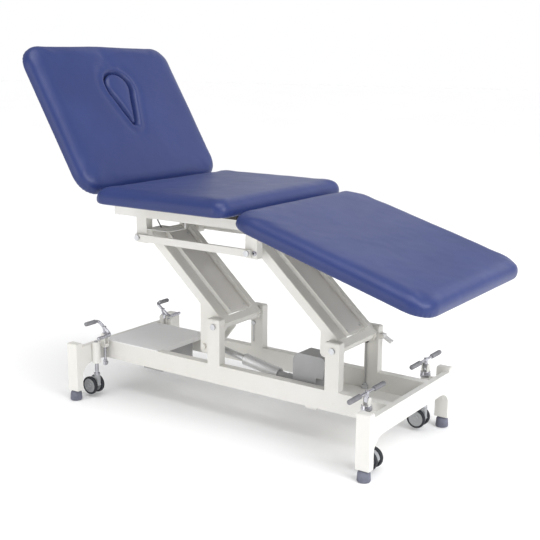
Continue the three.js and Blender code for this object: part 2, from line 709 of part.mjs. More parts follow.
// Gas spring of the leg section: both of its ends lie this far from the hinge.
const LEG_SPRING_Y = 187.5;
const LEG_SPRING_RADIUS = 100;
const LEG_SPRING_FRAME_ANGLE = 232;
const LEG_SPRING_REST_ANGLE = 322;
const onCircle = (x, z, radius, angle) =>
  [x + radius * Math.cos(degrees(angle)), z + radius * Math.sin(degrees(angle))];
const [legSpringX, legSpringZ] = onCircle(
  LEG_HINGE_X, LEG_HINGE_Z, LEG_SPRING_RADIUS, LEG_SPRING_FRAME_ANGLE);

function legSpringBracket() {
  const arm = boxBetween(legSpringX - 12, legSpringX + 12, SEAT_RAIL_OUTER_Y - 2, LEG_SPRING_Y + 12.5,
    SEAT_RAIL_BOTTOM + 2, SEAT_RAIL_BOTTOM + 14);
  const lugs = lugPlates(legSpringX, legSpringZ, SEAT_RAIL_BOTTOM + 6, 9, 8.5, 4);
  for (const lug of lugs) lug.translate(0, LEG_SPRING_Y, 0);
  return [arm, ...lugs];
}

function seatRail(side) {
  const [y0, y1] = onSide(side, SEAT_RAIL_INNER_Y, SEAT_RAIL_OUTER_Y);
  const rail = boxBetween(
    SEAT_RAIL_HEAD_X, footUpperX + BRACKET_AFTER, y0, y1, SEAT_RAIL_BOTTOM, SEAT_RAIL_TOP);
  const brackets = upperPivots.map(([, x]) => boxBetween(
    x - BRACKET_BEFORE, x + BRACKET_AFTER, y0, y1, UPPER_PIVOT_Z - 18, SEAT_RAIL_BOTTOM + 1));
  const [earInner, earOuter] = onSide(side, SEAT_RAIL_INNER_Y, SEAT_RAIL_INNER_Y + 10);
  const ear = new THREE.Shape();
  ear.moveTo(BACK_HINGE_X - 24, SEAT_RAIL_TOP - 4);
  ear.lineTo(BACK_HINGE_X + 24, SEAT_RAIL_TOP - 4);
  ear.lineTo(BACK_HINGE_X + 11, BACK_HINGE_Z);
  ear.absarc(BACK_HINGE_X, BACK_HINGE_Z, 11, 0, Math.PI, false);
  ear.closePath();
  const bores = upperPivots.map(([, x]) => rodAlongY(BORE_RADIUS, x, UPPER_PIVOT_Z, y0 - 2, y1 + 2));
  bores.push(rodAlongY(5.4, BACK_HINGE_X, BACK_HINGE_Z, earInner - 2, earOuter + 2, 16));
  const [legBoreInner, legBoreOuter] = onSide(side, SEAT_RAIL_OUTER_Y - 14, SEAT_RAIL_OUTER_Y + 2);
  bores.push(rodAlongY(6.4, LEG_HINGE_X, LEG_HINGE_Z, legBoreInner, legBoreOuter, 16));
  const added = [rail, ...brackets, plateXZ(ear, earInner, earOuter)];
  if (side > 0) added.push(...legSpringBracket());
  return shaped(added, bores);
}

function tieBar(side) {
  const [y0, y1] = onSide(side, SEAT_RAIL_OUTER_Y + 0.2, SEAT_RAIL_OUTER_Y + TIE_BAR_THICKNESS);
  const half = TIE_BAR_DEPTH / 2;
  const bar = boxBetween(
    headUpperX - 13, footUpperX + 13, y0, y1, UPPER_PIVOT_Z - half, UPPER_PIVOT_Z + half);
  const bores = upperPivots.map(([, x]) => rodAlongY(BORE_RADIUS, x, UPPER_PIVOT_Z, y0 - 2, y1 + 2));
  return shaped([bar], bores);
}

for (const [name, side] of sides) {
  place(`${name}_seat_rail`, seatRail(side), cream);
  place(`${name}_tie_bar`, tieBar(side), cream);
}

const tieOuterY = SEAT_RAIL_OUTER_Y + TIE_BAR_THICKNESS;
for (const [name, x] of upperPivots) {
  const spacerRadius = 13;
  const spacerInner = 109.5;
  const headRadius = 10;
  const added = [rodAlongY(SHAFT_RADIUS, x, UPPER_PIVOT_Z, -tieOuterY - 1, tieOuterY + 1)];
  for (const [, side] of sides) {
    const [spacer0, spacer1] = onSide(side, spacerInner, SEAT_RAIL_INNER_Y - 0.3);
    const [head0, head1] = onSide(side, tieOuterY + 0.3, tieOuterY + 6);
    added.push(rodAlongY(spacerRadius, x, UPPER_PIVOT_Z, spacer0, spacer1));
    added.push(rodAlongY(headRadius, x, UPPER_PIVOT_Z, head0, head1));
  }
  place(`${name}_upper_pivot_shaft`, shaped(added), chrome);
}

// Cross members of the seat frame. The head one carries the lug of the backrest's gas spring.
const SPRING_RADIUS = 105;      // both ends of the backrest's gas spring lie this far from its hinge
const SPRING_FRAME_ANGLE = 293; // degrees, direction of the frame end from the hinge, in X and Z
const SPRING_BACK_ANGLE = 166;
const [springFrameX, springFrameZ] = onCircle(BACK_HINGE_X, BACK_HINGE_Z, SPRING_RADIUS, SPRING_FRAME_ANGLE);
const [springBackX, springBackZ] = onCircle(BACK_HINGE_X, BACK_HINGE_Z, SPRING_RADIUS, SPRING_BACK_ANGLE);

function lugPlates(x, z, rootZ, radius, halfGap, thickness) {
  const shape = new THREE.Shape();
  const up = rootZ > z ? 1 : -1;
  shape.moveTo(x + radius, z);
  shape.lineTo(x + radius, rootZ);
  shape.lineTo(x - radius, rootZ);
  shape.lineTo(x - radius, z);
  shape.absarc(x, z, radius, Math.PI, up > 0 ? 2 * Math.PI : 0, up < 0);
  shape.closePath();
  return [
    plateXZ(shape, halfGap, halfGap + thickness, 6),
    plateXZ(shape, -halfGap - thickness, -halfGap, 6),
    rodAlongY(4, x, z, -halfGap - thickness, halfGap + thickness, 12),
  ];
}

function headCrossMember() {
  const half = SEAT_RAIL_INNER_Y - 0.2;
  const bottom = SEAT_RAIL_BOTTOM + 10;
  const beam = boxBetween(springFrameX - 18, springFrameX + 18, -half, half, bottom, SEAT_RAIL_TOP - 6);
  return shaped([beam, ...lugPlates(springFrameX, springFrameZ, bottom + 4, 9, 8.5, 5)]);
}

function footCrossMember() {
  const half = SEAT_RAIL_INNER_Y - 0.2;
  return boxBetween(-60, -24, -half, half, SEAT_RAIL_BOTTOM + 4, SEAT_RAIL_TOP - 6);
}

place('head_cross_member', headCrossMember(), cream);
place('foot_cross_member', footCrossMember(), cream);

place('seat_cushion', cushionSlab(SEAT_CUSHION_HEAD_X, SEAT_CUSHION_FOOT_X, CUSHION_HALF_WIDTH,
  SEAT_CUSHION_BOTTOM, CUSHION_THICKNESS, SEAT_CORNER, CUSHION_EDGE), vinyl);
// The board lies between the rails and the cushion.
place('seat_board', boxBetween(SEAT_CUSHION_HEAD_X + 30, SEAT_CUSHION_FOOT_X - 24, -BOARD_HALF_WIDTH,
  BOARD_HALF_WIDTH, SEAT_RAIL_TOP + 0.2, SEAT_CUSHION_BOTTOM - 0.4), boardWood);

// ---------------------------------------------------------------- backrest

const back = tiltedGroup(BACK_HINGE_X, 0, BACK_HINGE_Z, BACK_TILT);
const backFar = -(BACK_START + BACK_LENGTH);
const PLUG_TOP = 432;           // breathing hole, measured from the backrest's lower end
const PLUG_TIP = 230;
const PLUG_WIDTH = 112;
const PLUG_TIP_RADIUS = 10;

// A teardrop with its point towards the seat, grown outwards by a margin.
function teardrop(margin) {
  const bigX = -(BACK_START + PLUG_TOP - PLUG_WIDTH / 2);
  const smallX = -(BACK_START + PLUG_TIP + PLUG_TIP_RADIUS);
  const big = PLUG_WIDTH / 2 + margin;
  const small = PLUG_TIP_RADIUS + margin;
  const touch = Math.acos((big - small) / (smallX - bigX));
  const shape = new THREE.Shape();
  shape.absarc(smallX, 0, small, -touch, touch, false);
  shape.absarc(bigX, 0, big, touch, 2 * Math.PI - touch, false);
  shape.closePath();
  return shape;
}

function plugSlab(margin, z0, z1) {
  const settings = { depth: z1 - z0, bevelEnabled: false, curveSegments: 14 };
  const geometry = new THREE.ExtrudeGeometry(teardrop(margin), settings);
  geometry.translate(0, 0, z0);
  return geometry;
}

function backCushion() {
  const slab = cushionSlab(backFar, -BACK_START, CUSHION_HALF_WIDTH,
    BACK_UNDERSIDE, CUSHION_THICKNESS, END_CORNER, CUSHION_EDGE);
  const hole = plugSlab(1.5, BACK_UNDERSIDE - 5, BACK_UNDERSIDE + CUSHION_THICKNESS + 5);
  return shaped([slab], [hole]);
}

function backFrame() {
  const top = BACK_UNDERSIDE - 0.4;
  const bottom = BACK_UNDERSIDE - 28;
  const added = [];
  for (const [, side] of sides) {
    const [y0, y1] = onSide(side, 100, 125);
    added.push(boxBetween(backFar + 60, -BACK_START - 3, y0, y1, bottom, top));
    const [ear0, ear1] = onSide(side, 112, SEAT_RAIL_INNER_Y - 0.5);
    const ear = new THREE.Shape();
    ear.moveTo(-42, bottom + 2);
    ear.lineTo(-14, bottom + 2);
    ear.lineTo(10, -5);
    ear.absarc(0, 0, 11, -0.5, 0.5 * Math.PI, false);
    ear.lineTo(-12.4, 11);
    ear.lineTo(-12.4, top);
    ear.lineTo(-42, top);
    ear.closePath();
    added.push(plateXZ(ear, ear0, ear1));
    const [pin0, pin1] = onSide(side, 114, SEAT_RAIL_INNER_Y + 11);
    added.push(rodAlongY(5, 0, 0, pin0, pin1, 16));
  }
  for (const x of [backFar + 60, -330, -128]) {
    added.push(boxBetween(x, x + 24, -102, 102, bottom, top));
  }
  return added;
}

// Ends of the gas spring, seen from the tilted backrest.
function intoBack(x, z) {
  const angle = degrees(BACK_TILT);
  const dx = x - BACK_HINGE_X;
  const dz = z - BACK_HINGE_Z;
  return [dx * Math.cos(angle) - dz * Math.sin(angle), dx * Math.sin(angle) + dz * Math.cos(angle)];
}
const [springLocalX, springLocalZ] = intoBack(springBackX, springBackZ);
place('backrest_frame', shaped([
  ...backFrame(), ...lugPlates(springLocalX, springLocalZ, BACK_UNDERSIDE - 26, 9, 8.5, 5),
  boxBetween(springLocalX - 12, springLocalX + 12, -102, 102, BACK_UNDERSIDE - 28, BACK_UNDERSIDE - 0.4),
]), cream, back);
place('backrest_cushion', backCushion(), vinyl, back);
const plug = plugSlab(0, BACK_UNDERSIDE + 4, BACK_UNDERSIDE + CUSHION_THICKNESS + 1);
place('breathing_hole_plug', shaped([plug]), vinyl, back);

// ---------------------------------------------------------------- leg section

const legSection = tiltedGroup(LEG_HINGE_X, 0, LEG_HINGE_Z, LEG_REST_TILT);

function legFrame() {
  const bottom = 4;
  const top = LEG_REST_UNDERSIDE - 0.4;
  const added = [];
  for (const [, side] of sides) {
    const [y0, y1] = onSide(side, 175, 200);
    added.push(boxBetween(52, 620, y0, y1, bottom, top));
    added.push(boxBetween(0, 62, y0, y1, -12, 12));
    added.push(rodAlongY(15, 0, 0, y0, y1, 20));
    const [pin0, pin1] = onSide(side, SEAT_RAIL_OUTER_Y - 12, 178);
    added.push(rodAlongY(6, 0, 0, pin0, pin1, 16));
  }
  for (const x of [150, 310, 596]) added.push(boxBetween(x, x + 24, -176, 176, bottom, top));
  const angle = degrees(LEG_REST_TILT);
  const [x, z] = onCircle(0, 0, LEG_SPRING_RADIUS, LEG_SPRING_REST_ANGLE);
  const localX = x * Math.cos(angle) - z * Math.sin(angle);
  const localZ = x * Math.sin(angle) + z * Math.cos(angle);
  for (const lug of lugPlates(localX, localZ, bottom + 4, 9, 8.5, 4)) {
    lug.translate(0, LEG_SPRING_Y, 0);
    added.push(lug);
  }
  return shaped(added);
}
place('leg_section_frame', legFrame(), cream, legSection);
const legCushion = cushionSlab(LEG_REST_START, LEG_REST_START + LEG_REST_LENGTH, CUSHION_HALF_WIDTH,
  LEG_REST_UNDERSIDE, CUSHION_THICKNESS, END_CORNER, CUSHION_EDGE);
place('leg_section_cushion', legCushion, vinyl, legSection);

// ---------------------------------------------------------------- gas springs

// A cylinder hinged at one end and a rod hinged at the other, sliding into it.
function springCylinder(mouth) {
  const body = rodAlongX(8, 0, 0, -mouth, -14, 16);
  const eye = rodAlongY(8, 0, 0, -8, 8, 16);
  const neck = rodAlongX(4.5, 0, 0, -16, -4, 12);
  const bore = rodAlongX(4.6, 0, 0, -mouth - 2, -20, 16);
  return shaped([body, eye, neck], [bore, rodAlongY(4.6, 0, 0, -20, 20, 12)]);
}

function springRod(reach, length) {
  const rod = rodAlongX(3.5, 0, 0, -reach + 4, -reach + length, 12);
  const eye = rodAlongY(8, -reach, 0, -8, 8, 16);
  return shaped([rod, eye], [rodAlongY(4.6, -reach, 0, -20, 20, 12)]);
}

// closed is the distance between its ends when it is pushed in furthest.
function gasSpring(name, x0, z0, x1, z1, y, closed) {
  const reach = Math.hypot(x1 - x0, z1 - z0);
  const angle = Math.atan2(z1 - z0, -(x1 - x0)) * 180 / Math.PI;
  const group = tiltedGroup(x0, y, z0, angle);
  place(`${name}_cylinder`, springCylinder(closed - 13), rubber, group);
  place(`${name}_rod`, springRod(reach, closed - 22), chrome, group);
}

gasSpring('backrest_gas_spring', springFrameX, springFrameZ, springBackX, springBackZ, 0, 117);
gasSpring('leg_gas_spring', legSpringX, legSpringZ,
  ...onCircle(LEG_HINGE_X, LEG_HINGE_Z, LEG_SPRING_RADIUS, LEG_SPRING_REST_ANGLE), LEG_SPRING_Y, 140);

export default table;
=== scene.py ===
import json
import math

import bmesh
import bpy
import numpy as np
from mathutils import Matrix, Vector, noise


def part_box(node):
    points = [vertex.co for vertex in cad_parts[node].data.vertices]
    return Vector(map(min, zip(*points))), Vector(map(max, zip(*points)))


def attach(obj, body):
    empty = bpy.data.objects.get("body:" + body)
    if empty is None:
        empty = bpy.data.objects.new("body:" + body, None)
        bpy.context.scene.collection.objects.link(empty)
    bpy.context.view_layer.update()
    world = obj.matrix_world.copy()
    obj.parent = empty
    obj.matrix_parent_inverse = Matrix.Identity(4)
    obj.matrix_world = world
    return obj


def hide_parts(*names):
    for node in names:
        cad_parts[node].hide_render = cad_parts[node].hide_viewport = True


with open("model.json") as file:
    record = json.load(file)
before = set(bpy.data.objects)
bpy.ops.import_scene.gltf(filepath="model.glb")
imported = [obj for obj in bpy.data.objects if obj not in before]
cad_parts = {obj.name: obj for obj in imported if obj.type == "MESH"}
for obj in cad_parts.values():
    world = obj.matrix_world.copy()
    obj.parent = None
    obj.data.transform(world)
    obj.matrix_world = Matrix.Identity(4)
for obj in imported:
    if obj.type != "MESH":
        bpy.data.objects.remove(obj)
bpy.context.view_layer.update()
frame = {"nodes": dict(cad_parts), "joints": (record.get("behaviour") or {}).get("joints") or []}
NODES = frame["nodes"]
JOINTS = {joint["name"]: joint for joint in frame["joints"]}
MM = 0.001
ENDS = {"head": -1, "foot": 1}
SIDES = {"near": -1, "far": 1}

# The three tilts of the rest pose, in degrees, as the CAD has them.
BACK_TILT = 58.7
LEG_TILT = 16.4
ARM_TILT = 42.0


def joint_at(name):
    return Vector(JOINTS[name]["pos_m"])


def tilted(origin, degrees):
    """The local frame of a tilted section: x and z turned about Y at its hinge."""
    return Matrix.Translation(origin) @ Matrix.Rotation(math.radians(degrees), 4, "Y")


BACK = tilted(joint_at("backrest_hinge"), BACK_TILT)
LEGS = tilted(joint_at("leg_section_hinge"), LEG_TILT)
HEAD_ARM = tilted(joint_at("lift"), ARM_TILT)
FOOT_ARM = tilted(joint_at("foot_arm_pivot"), ARM_TILT)
SLIDE = Vector(JOINTS["actuator_slide"]["axis"])
ACTUATOR = tilted(joint_at("actuator_pivot"), math.degrees(math.atan2(SLIDE.z, -SLIDE.x)))


# ------ camera

VIEW_DEGREES = (34.6, 12.3, 0.5)     # azimuth, elevation, roll
VIEW_TARGET = Vector((0.0251, 0, 0.5132))
VIEW_DISTANCE = 3.192
LENS_MM = 64.07
SENSOR_MM = 36


def place_camera():
    azimuth, elevation, roll = (math.radians(a) for a in VIEW_DEGREES)
    back = Vector((
        math.sin(azimuth) * math.cos(elevation),
        -math.cos(azimuth) * math.cos(elevation),
        math.sin(elevation)))
    right = Vector((math.cos(azimuth), math.sin(azimuth), 0))
    up = back.cross(right)
    turned_right = math.cos(roll) * right + math.sin(roll) * up
    turned_up = back.cross(turned_right)
    data = bpy.data.cameras.new("camera")
    data.lens = LENS_MM
    data.sensor_width = SENSOR_MM
    data.clip_end = 200
    camera = bpy.data.objects.new("camera", data)
    bpy.context.scene.collection.objects.link(camera)
    rotation = Matrix((turned_right, turned_up, back)).transposed().to_4x4()
    camera.matrix_world = Matrix.Translation(VIEW_TARGET + back * VIEW_DISTANCE) @ rotation
    bpy.context.scene.camera = camera


place_camera()


# ------ materials

class Nodes:
    """One material's node tree, with short ways to add and link nodes."""

    def __init__(self, name):
        self.material = bpy.data.materials.new(name)
        self.material.use_nodes = True
        self.tree = self.material.node_tree
        self.shader = self.tree.nodes["Principled BSDF"]
        self.coords = self.tree.nodes.new("ShaderNodeTexCoord")

    def add(self, kind, **inputs):
        node = self.tree.nodes.new(kind)
        for key, value in inputs.items():
            name = key.replace("_", " ")
            if name in node.inputs:
                node.inputs[name].default_value = value
            else:
                setattr(node, key, value)
        return node

    def link(self, source, target):
        self.tree.links.new(source, target)

    def mapped(self, scale):
        mapping = self.add("ShaderNodeMapping")
        mapping.inputs["Scale"].default_value = scale
        self.link(self.coords.outputs["Object"], mapping.inputs["Vector"])
        return mapping.outputs["Vector"]

    def noise(self, scale, detail=3.0, roughness=0.5, stretch=(1, 1, 1)):
        node = self.add("ShaderNodeTexNoise", Scale=scale, Detail=detail, Roughness=roughness)
        self.link(self.mapped(stretch), node.inputs["Vector"])
        return node.outputs["Fac"]

    def cells(self, scale, feature="F1", stretch=(1, 1, 1)):
        node = self.add("ShaderNodeTexVoronoi", Scale=scale)
        node.feature = feature
        self.link(self.mapped(stretch), node.inputs["Vector"])
        return node.outputs["Distance"]

    def ramp(self, source, stops):
        node = self.add("ShaderNodeValToRGB")
        elements = node.color_ramp.elements
        while len(elements) < len(stops):
            elements.new(0.5)
        for element, (position, colour) in zip(elements, stops):
            element.position = position
            element.color = (*colour, 1) if len(colour) == 3 else colour
        self.link(source, node.inputs["Fac"])
        return node.outputs["Color"]

    def ranged(self, source, low, high, from_low=0.0, from_high=1.0):
        node = self.add("ShaderNodeMapRange")
        node.inputs["From Min"].default_value = from_low
        node.inputs["From Max"].default_value = from_high
        node.inputs["To Min"].default_value = low
        node.inputs["To Max"].default_value = high
        self.link(source, node.inputs["Value"])
        return node.outputs["Result"]

    def blend(self, factor, a, b, mode="MIX"):
        node = self.add("ShaderNodeMix")
        node.data_type = "RGBA"
        node.blend_type = mode
        if isinstance(factor, float):
            node.inputs[0].default_value = factor
        else:
            self.link(factor, node.inputs[0])
        for socket, value in ((node.inputs[6], a), (node.inputs[7], b)):
            if isinstance(value, tuple):
                socket.default_value = (*value, 1)
            else:
                self.link(value, socket)
        return node.outputs[2]

    def bump(self, height, strength, distance, before=None):
        node = self.add("ShaderNodeBump", Strength=strength, Distance=distance)
        self.link(height, node.inputs["Height"])
        if before is not None:
            self.link(before, node.inputs["Normal"])
        return node.outputs["Normal"]

    def finish(self, colour=None, roughness=None, normal=None, **fixed):
        if colour is not None:
            self.link(colour, self.shader.inputs["Base Color"])
        if roughness is not None:
            if isinstance(roughness, float):
                self.shader.inputs["Roughness"].default_value = roughness
            else:
                self.link(roughness, self.shader.inputs["Roughness"])
        if normal is not None:
            self.link(normal, self.shader.inputs["Normal"])
        for key, value in fixed.items():
            self.shader.inputs[key.replace("_", " ")].default_value = value
        return self.material


def darker(colour, factor):
    return tuple(channel * factor for channel in colour)


def vinyl():
    """Upholstery vinyl: fine leather grain, slow colour drift, soft sheen."""
    n = Nodes("vinyl_blue")
    base = (0.025, 0.041, 0.155)
    drift = n.noise(5.0, 3.0)
    colour = n.ramp(drift, [(0.3, darker(base, 0.93)), (0.7, darker(base, 1.07))])
    grain = n.cells(620.0, "DISTANCE_TO_EDGE")
    valley = n.ramp(grain, [(0.0, (0.72, 0.72, 0.72)), (0.16, (1, 1, 1))])
    colour = n.blend(0.55, colour, valley, "MULTIPLY")
    rough = n.ranged(n.noise(18.0, 4.0), 0.34, 0.43)
    fine = n.bump(grain, 0.16, 0.0006)
    soft = n.bump(n.noise(22.0, 2.0), 0.08, 0.002, fine)
    return n.finish(
        colour, rough, soft, Specular_IOR_Level=0.36, Sheen_Weight=0.03, Sheen_Roughness=0.4)


def powder_coat(name, base, warmth=0.03, rough=(0.34, 0.46)):
    """Powder coat: faint orange peel, handling marks, and a little grime in slow patches."""
    n = Nodes(name)
    patches = n.noise(3.2, 5.0, 0.6)
    colour = n.ramp(patches, [
        (0.35, (base[0] * (1 - warmth), base[1] * (1 - warmth * 1.2), base[2] * (1 - warmth * 1.9))),
        (0.6, base)])
    marks = n.ramp(n.noise(60.0, 6.0, 0.7), [(0.28, (0.93, 0.92, 0.9)), (0.4, (1, 1, 1))])
    colour = n.blend(0.6, colour, marks, "MULTIPLY")
    roughness = n.ranged(n.noise(35.0, 3.0), *rough)
    peel = n.bump(n.noise(420.0, 2.0), 0.07, 0.0006)
    return n.finish(colour, roughness, peel)


def rubber(name, base, rough=(0.62, 0.8), grain=500.0):
    n = Nodes(name)
    colour = n.ramp(n.noise(30.0, 4.0), [(0.3, darker(base, 0.8)), (0.7, darker(base, 1.25))])
    roughness = n.ranged(n.noise(70.0, 3.0), *rough)
    return n.finish(colour, roughness, n.bump(n.noise(grain, 3.0), 0.25, 0.0004))


def plastic(name, base, rough=(0.42, 0.58), grain=700.0, bump=0.18):
    n = Nodes(name)
    colour = n.ramp(n.noise(14.0, 4.0), [(0.3, darker(base, 0.92)), (0.7, darker(base, 1.06))])
    roughness = n.ranged(n.noise(40.0, 3.0), *rough)
    return n.finish(colour, roughness, n.bump(n.cells(grain), bump, 0.0003))


def chrome(name="chrome_plate", base=(0.5, 0.5, 0.54), rough=(0.1, 0.22)):
    n = Nodes(name)
    colour = n.ramp(n.noise(25.0, 5.0), [(0.35, darker(base, 0.82)), (0.6, base)])
    roughness = n.ranged(n.noise(90.0, 5.0, 0.65), *rough)
    return n.finish(colour, roughness, n.bump(n.noise(900.0, 2.0), 0.03, 0.0002), Metallic=1.0)


def brushed(name, base, stretch=(3, 90, 90), metallic=0.65):
    n = Nodes(name)
    lines = n.noise(14.0, 6.0, 0.6, stretch)
    colour = n.ramp(lines, [(0.3, darker(base, 0.84)), (0.7, base)])
    roughness = n.ranged(lines, 0.42, 0.56)
    return n.finish(colour, roughness, n.bump(lines, 0.06, 0.0003), Metallic=metallic)


def plywood():
    """Ply coloured near black as painted shade under the seat pad: the grain and the edges of its layers show
    faintly through it.
    """
    n = Nodes("ply_painted_shade")
    grain = n.noise(9.0, 6.0, 0.6, (1, 14, 14))
    # These near-black colours are painted shade: the board reads as the shadow under the seat pad.
    colour = n.ramp(grain, [
        (0.3, (0.030, 0.026, 0.022)), (0.55, (0.044, 0.038, 0.032)), (0.8, (0.06, 0.05, 0.042))])
    plies = n.add("ShaderNodeTexWave", Scale=220.0, Distortion=0.4)
    plies.bands_direction = "Z"
    n.link(n.coords.outputs["Object"], plies.inputs["Vector"])
    stripes = n.ramp(plies.outputs["Fac"], [(0.3, (0.7, 0.66, 0.6)), (0.7, (1, 1, 1))])
    colour = n.blend(0.5, colour, stripes, "MULTIPLY")
    return n.finish(colour, n.ranged(grain, 0.55, 0.75), n.bump(grain, 0.15, 0.0006))


def underlay_cloth():
    """Black non-woven cloth under the pads: short crossing fibres."""
    n = Nodes("underlay_cloth")
    across = n.noise(60.0, 4.0, 0.6, (1, 12, 1))
    along = n.noise(60.0, 4.0, 0.6, (12, 1, 1))
    fibres = n.blend(0.5, n.ramp(across, [(0.3, (0, 0, 0)), (0.7, (1, 1, 1))]),
                     n.ramp(along, [(0.3, (0, 0, 0)), (0.7, (1, 1, 1))]))
    colour = n.ramp(fibres, [(0.3, (0.012, 0.012, 0.014)), (0.7, (0.035, 0.035, 0.04))])
    return n.finish(colour, 0.92, n.bump(fibres, 0.35, 0.0004))


MAT = {
    "vinyl": vinyl(),
    "cream": powder_coat("cream_powder_coat", (0.80, 0.79, 0.755)),
    "plate": powder_coat("light_grey_paint", (0.88, 0.88, 0.885), 0.02, (0.4, 0.52)),
    "panel": powder_coat("warm_grey_paint", (0.78, 0.76, 0.74), 0.04, (0.45, 0.6)),
    "recess": powder_coat("recess_grey_paint", (0.80, 0.79, 0.76), 0.04, (0.5, 0.65)),
    "foot": rubber("foot_rubber", (0.15, 0.155, 0.2)),
    "tread": rubber("tread_rubber", (0.02, 0.022, 0.028)),
    "grip": rubber("grip_rubber", (0.24, 0.24, 0.255), (0.5, 0.65)),
    "hood": plastic("caster_grey", (0.36, 0.37, 0.38)),
    "motor": plastic("motor_grey", (0.36, 0.36, 0.365), (0.5, 0.65), 500.0, 0.3),
    "dark": plastic("dark_plastic", (0.035, 0.036, 0.042)),
    "chrome": chrome(),
    "steel": chrome("zinc_plate", (0.66, 0.67, 0.69), (0.3, 0.46)),
    "tube": brushed("brushed_aluminium", (0.78, 0.785, 0.79)),
    "cable": plastic("cable_grey", (0.36, 0.36, 0.35), (0.4, 0.5), 300.0, 0.05),
    "wood": plywood(),
    "cloth": underlay_cloth(),
}


# ------ mesh helpers

def finish_mesh(mesh, smooth_angle):
    mesh.shade_smooth()
    mesh.set_sharp_from_angle(angle=math.radians(smooth_angle))


def piece(name, mesh, material, body, place=None, bevel=0.0, smooth_angle=38, stands_for=()):
    """One visible piece: its mesh is moved into the row frame, and it rides on a CAD body."""
    if place is not None:
        mesh.transform(place)
    mesh.materials.clear()
    mesh.materials.append(MAT[material])
    finish_mesh(mesh, smooth_angle)
    obj = bpy.data.objects.new(name, mesh)
    bpy.context.scene.collection.objects.link(obj)
    if bevel:
        modifier = obj.modifiers.new("edges", "BEVEL")
        modifier.width = bevel
        modifier.segments = 2
        modifier.limit_method = "ANGLE"
        modifier.angle_limit = math.radians(35)
    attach(obj, body)
    if stands_for:
        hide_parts(*stands_for)
    return obj


def mesh_from(bm, name="mesh"):
    bmesh.ops.recalc_face_normals(bm, faces=bm.faces)
    mesh = bpy.data.meshes.new(name)
    bm.to_mesh(mesh)
    bm.free()
    return mesh


def mesh_of(vertices, faces, name="mesh"):
    mesh = bpy.data.meshes.new(name)
    mesh.from_pydata([tuple(v) for v in vertices], [], faces)
    bm = bmesh.new()
    bm.from_mesh(mesh)
    bmesh.ops.recalc_face_normals(bm, faces=bm.faces)
    bm.to_mesh(mesh)
    bm.free()
    return mesh


def turned(profile, sides=48):
    """A profile of (radius, height) in mm, turned about Z; it starts and ends on the axis or closes."""
    bm = bmesh.new()
    rings = []
    for radius, height in profile:
        if radius < 1e-6:
            rings.append([bm.verts.new((0, 0, height * MM))])
            continue
        rings.append([
            bm.verts.new((
                radius * MM * math.cos(2 * math.pi * i / sides),
                radius * MM * math.sin(2 * math.pi * i / sides), height * MM))
            for i in range(sides)])
    closed = profile[0][0] > 1e-6
    pairs = list(zip(rings, rings[1:])) + ([(rings[-1], rings[0])] if closed else [])
    for low, high in pairs:
        for i in range(sides):
            j = (i + 1) % sides
            corners = [low[i % len(low)], low[j % len(low)], high[j % len(high)], high[i % len(high)]]
            unique = list(dict.fromkeys(corners))
            if len(unique) > 2:
                bm.faces.new(unique)
    return mesh_from(bm)


def boxes(*spans):
    """Several boxes in one mesh; each is ((x0, x1), (y0, y1), (z0, z1)) in mm."""
    bm = bmesh.new()
    for (x0, x1), (y0, y1), (z0, z1) in spans:
        made = bmesh.ops.create_cube(bm, size=1.0)
        for v in made["verts"]:
            v.co = Vector((
                (x0 + x1) / 2 + v.co.x * (x1 - x0),
                (y0 + y1) / 2 + v.co.y * (y1 - y0),
                (z0 + z1) / 2 + v.co.z * (z1 - z0))) * MM
    return mesh_from(bm)


def prism(outline, z0, z1):
    """A flat outline of (x, y) in mm, extruded from z0 to z1."""
    bm = bmesh.new()
    low = [bm.verts.new((x * MM, y * MM, z0 * MM)) for x, y in outline]
    high = [bm.verts.new((x * MM, y * MM, z1 * MM)) for x, y in outline]
    bm.faces.new(low)
    bm.faces.new(high)
    count = len(outline)
    for i in range(count):
        j = (i + 1) % count
        bm.faces.new((low[i], low[j], high[j], high[i]))
    return mesh_from(bm)


def tube_along(points, radii, sides=20):
    """A tube through points (metres) with one radius (metres) for each, capped at both ends."""
    bm = bmesh.new()
    rings = []
    side = None
    for i, point in enumerate(points):
        ahead = points[min(i + 1, len(points) - 1)] - points[max(i - 1, 0)]
        ahead.normalize()
        if side is None:
            side = ahead.orthogonal().normalized()
        side = (side - ahead * side.dot(ahead)).normalized()
        other = ahead.cross(side)
        rings.append([
            bm.verts.new(point + (side * math.cos(a) + other * math.sin(a)) * radii[i])
            for a in (2 * math.pi * k / sides for k in range(sides))])
    for low, high in zip(rings, rings[1:]):
        for i in range(sides):
            j = (i + 1) % sides
            bm.faces.new((low[i], low[j], high[j], high[i]))
    bm.faces.new(rings[0])
    bm.faces.new(rings[-1])
    return mesh_from(bm)


def smooth_path(corners, radius, steps=6):
    """Straight runs between corners (metres), with rounded bends."""
    path = [corners[0]]
    for before, corner, after in zip(corners, corners[1:], corners[2:]):
        a = corner + (before - corner).normalized() * radius
        b = corner + (after - corner).normalized() * radius
        for k in range(steps + 1):
            t = k / steps
            path.append((1 - t) ** 2 * a + 2 * t * (1 - t) * corner + t * t * b)
    path.append(corners[-1])
    return path


def joined(*meshes):
    bm = bmesh.new()
    for mesh in meshes:
        bm.from_mesh(mesh)
    return mesh_from(bm)


ALONG_Y = Matrix.Rotation(math.radians(-90), 4, "X")
ALONG_X = Matrix.Rotation(math.radians(90), 4, "Y")


def at(x, y, z):
    return Matrix.Translation(Vector((x, y, z)))


# ------ carried-over CAD nodes

def dress(material, names, edge=0.0015, segments=2, smooth_angle=38):
    for name in names:
        node = NODES[name]
        node.data.materials.clear()
        node.data.materials.append(MAT[material])
        finish_mesh(node.data, smooth_angle)
        if edge:
            modifier = node.modifiers.new("edges", "BEVEL")
            modifier.width = edge
            modifier.segments = segments
            modifier.limit_method = "ANGLE"
            modifier.angle_limit = math.radians(40)
            modifier.use_clamp_overlap = True


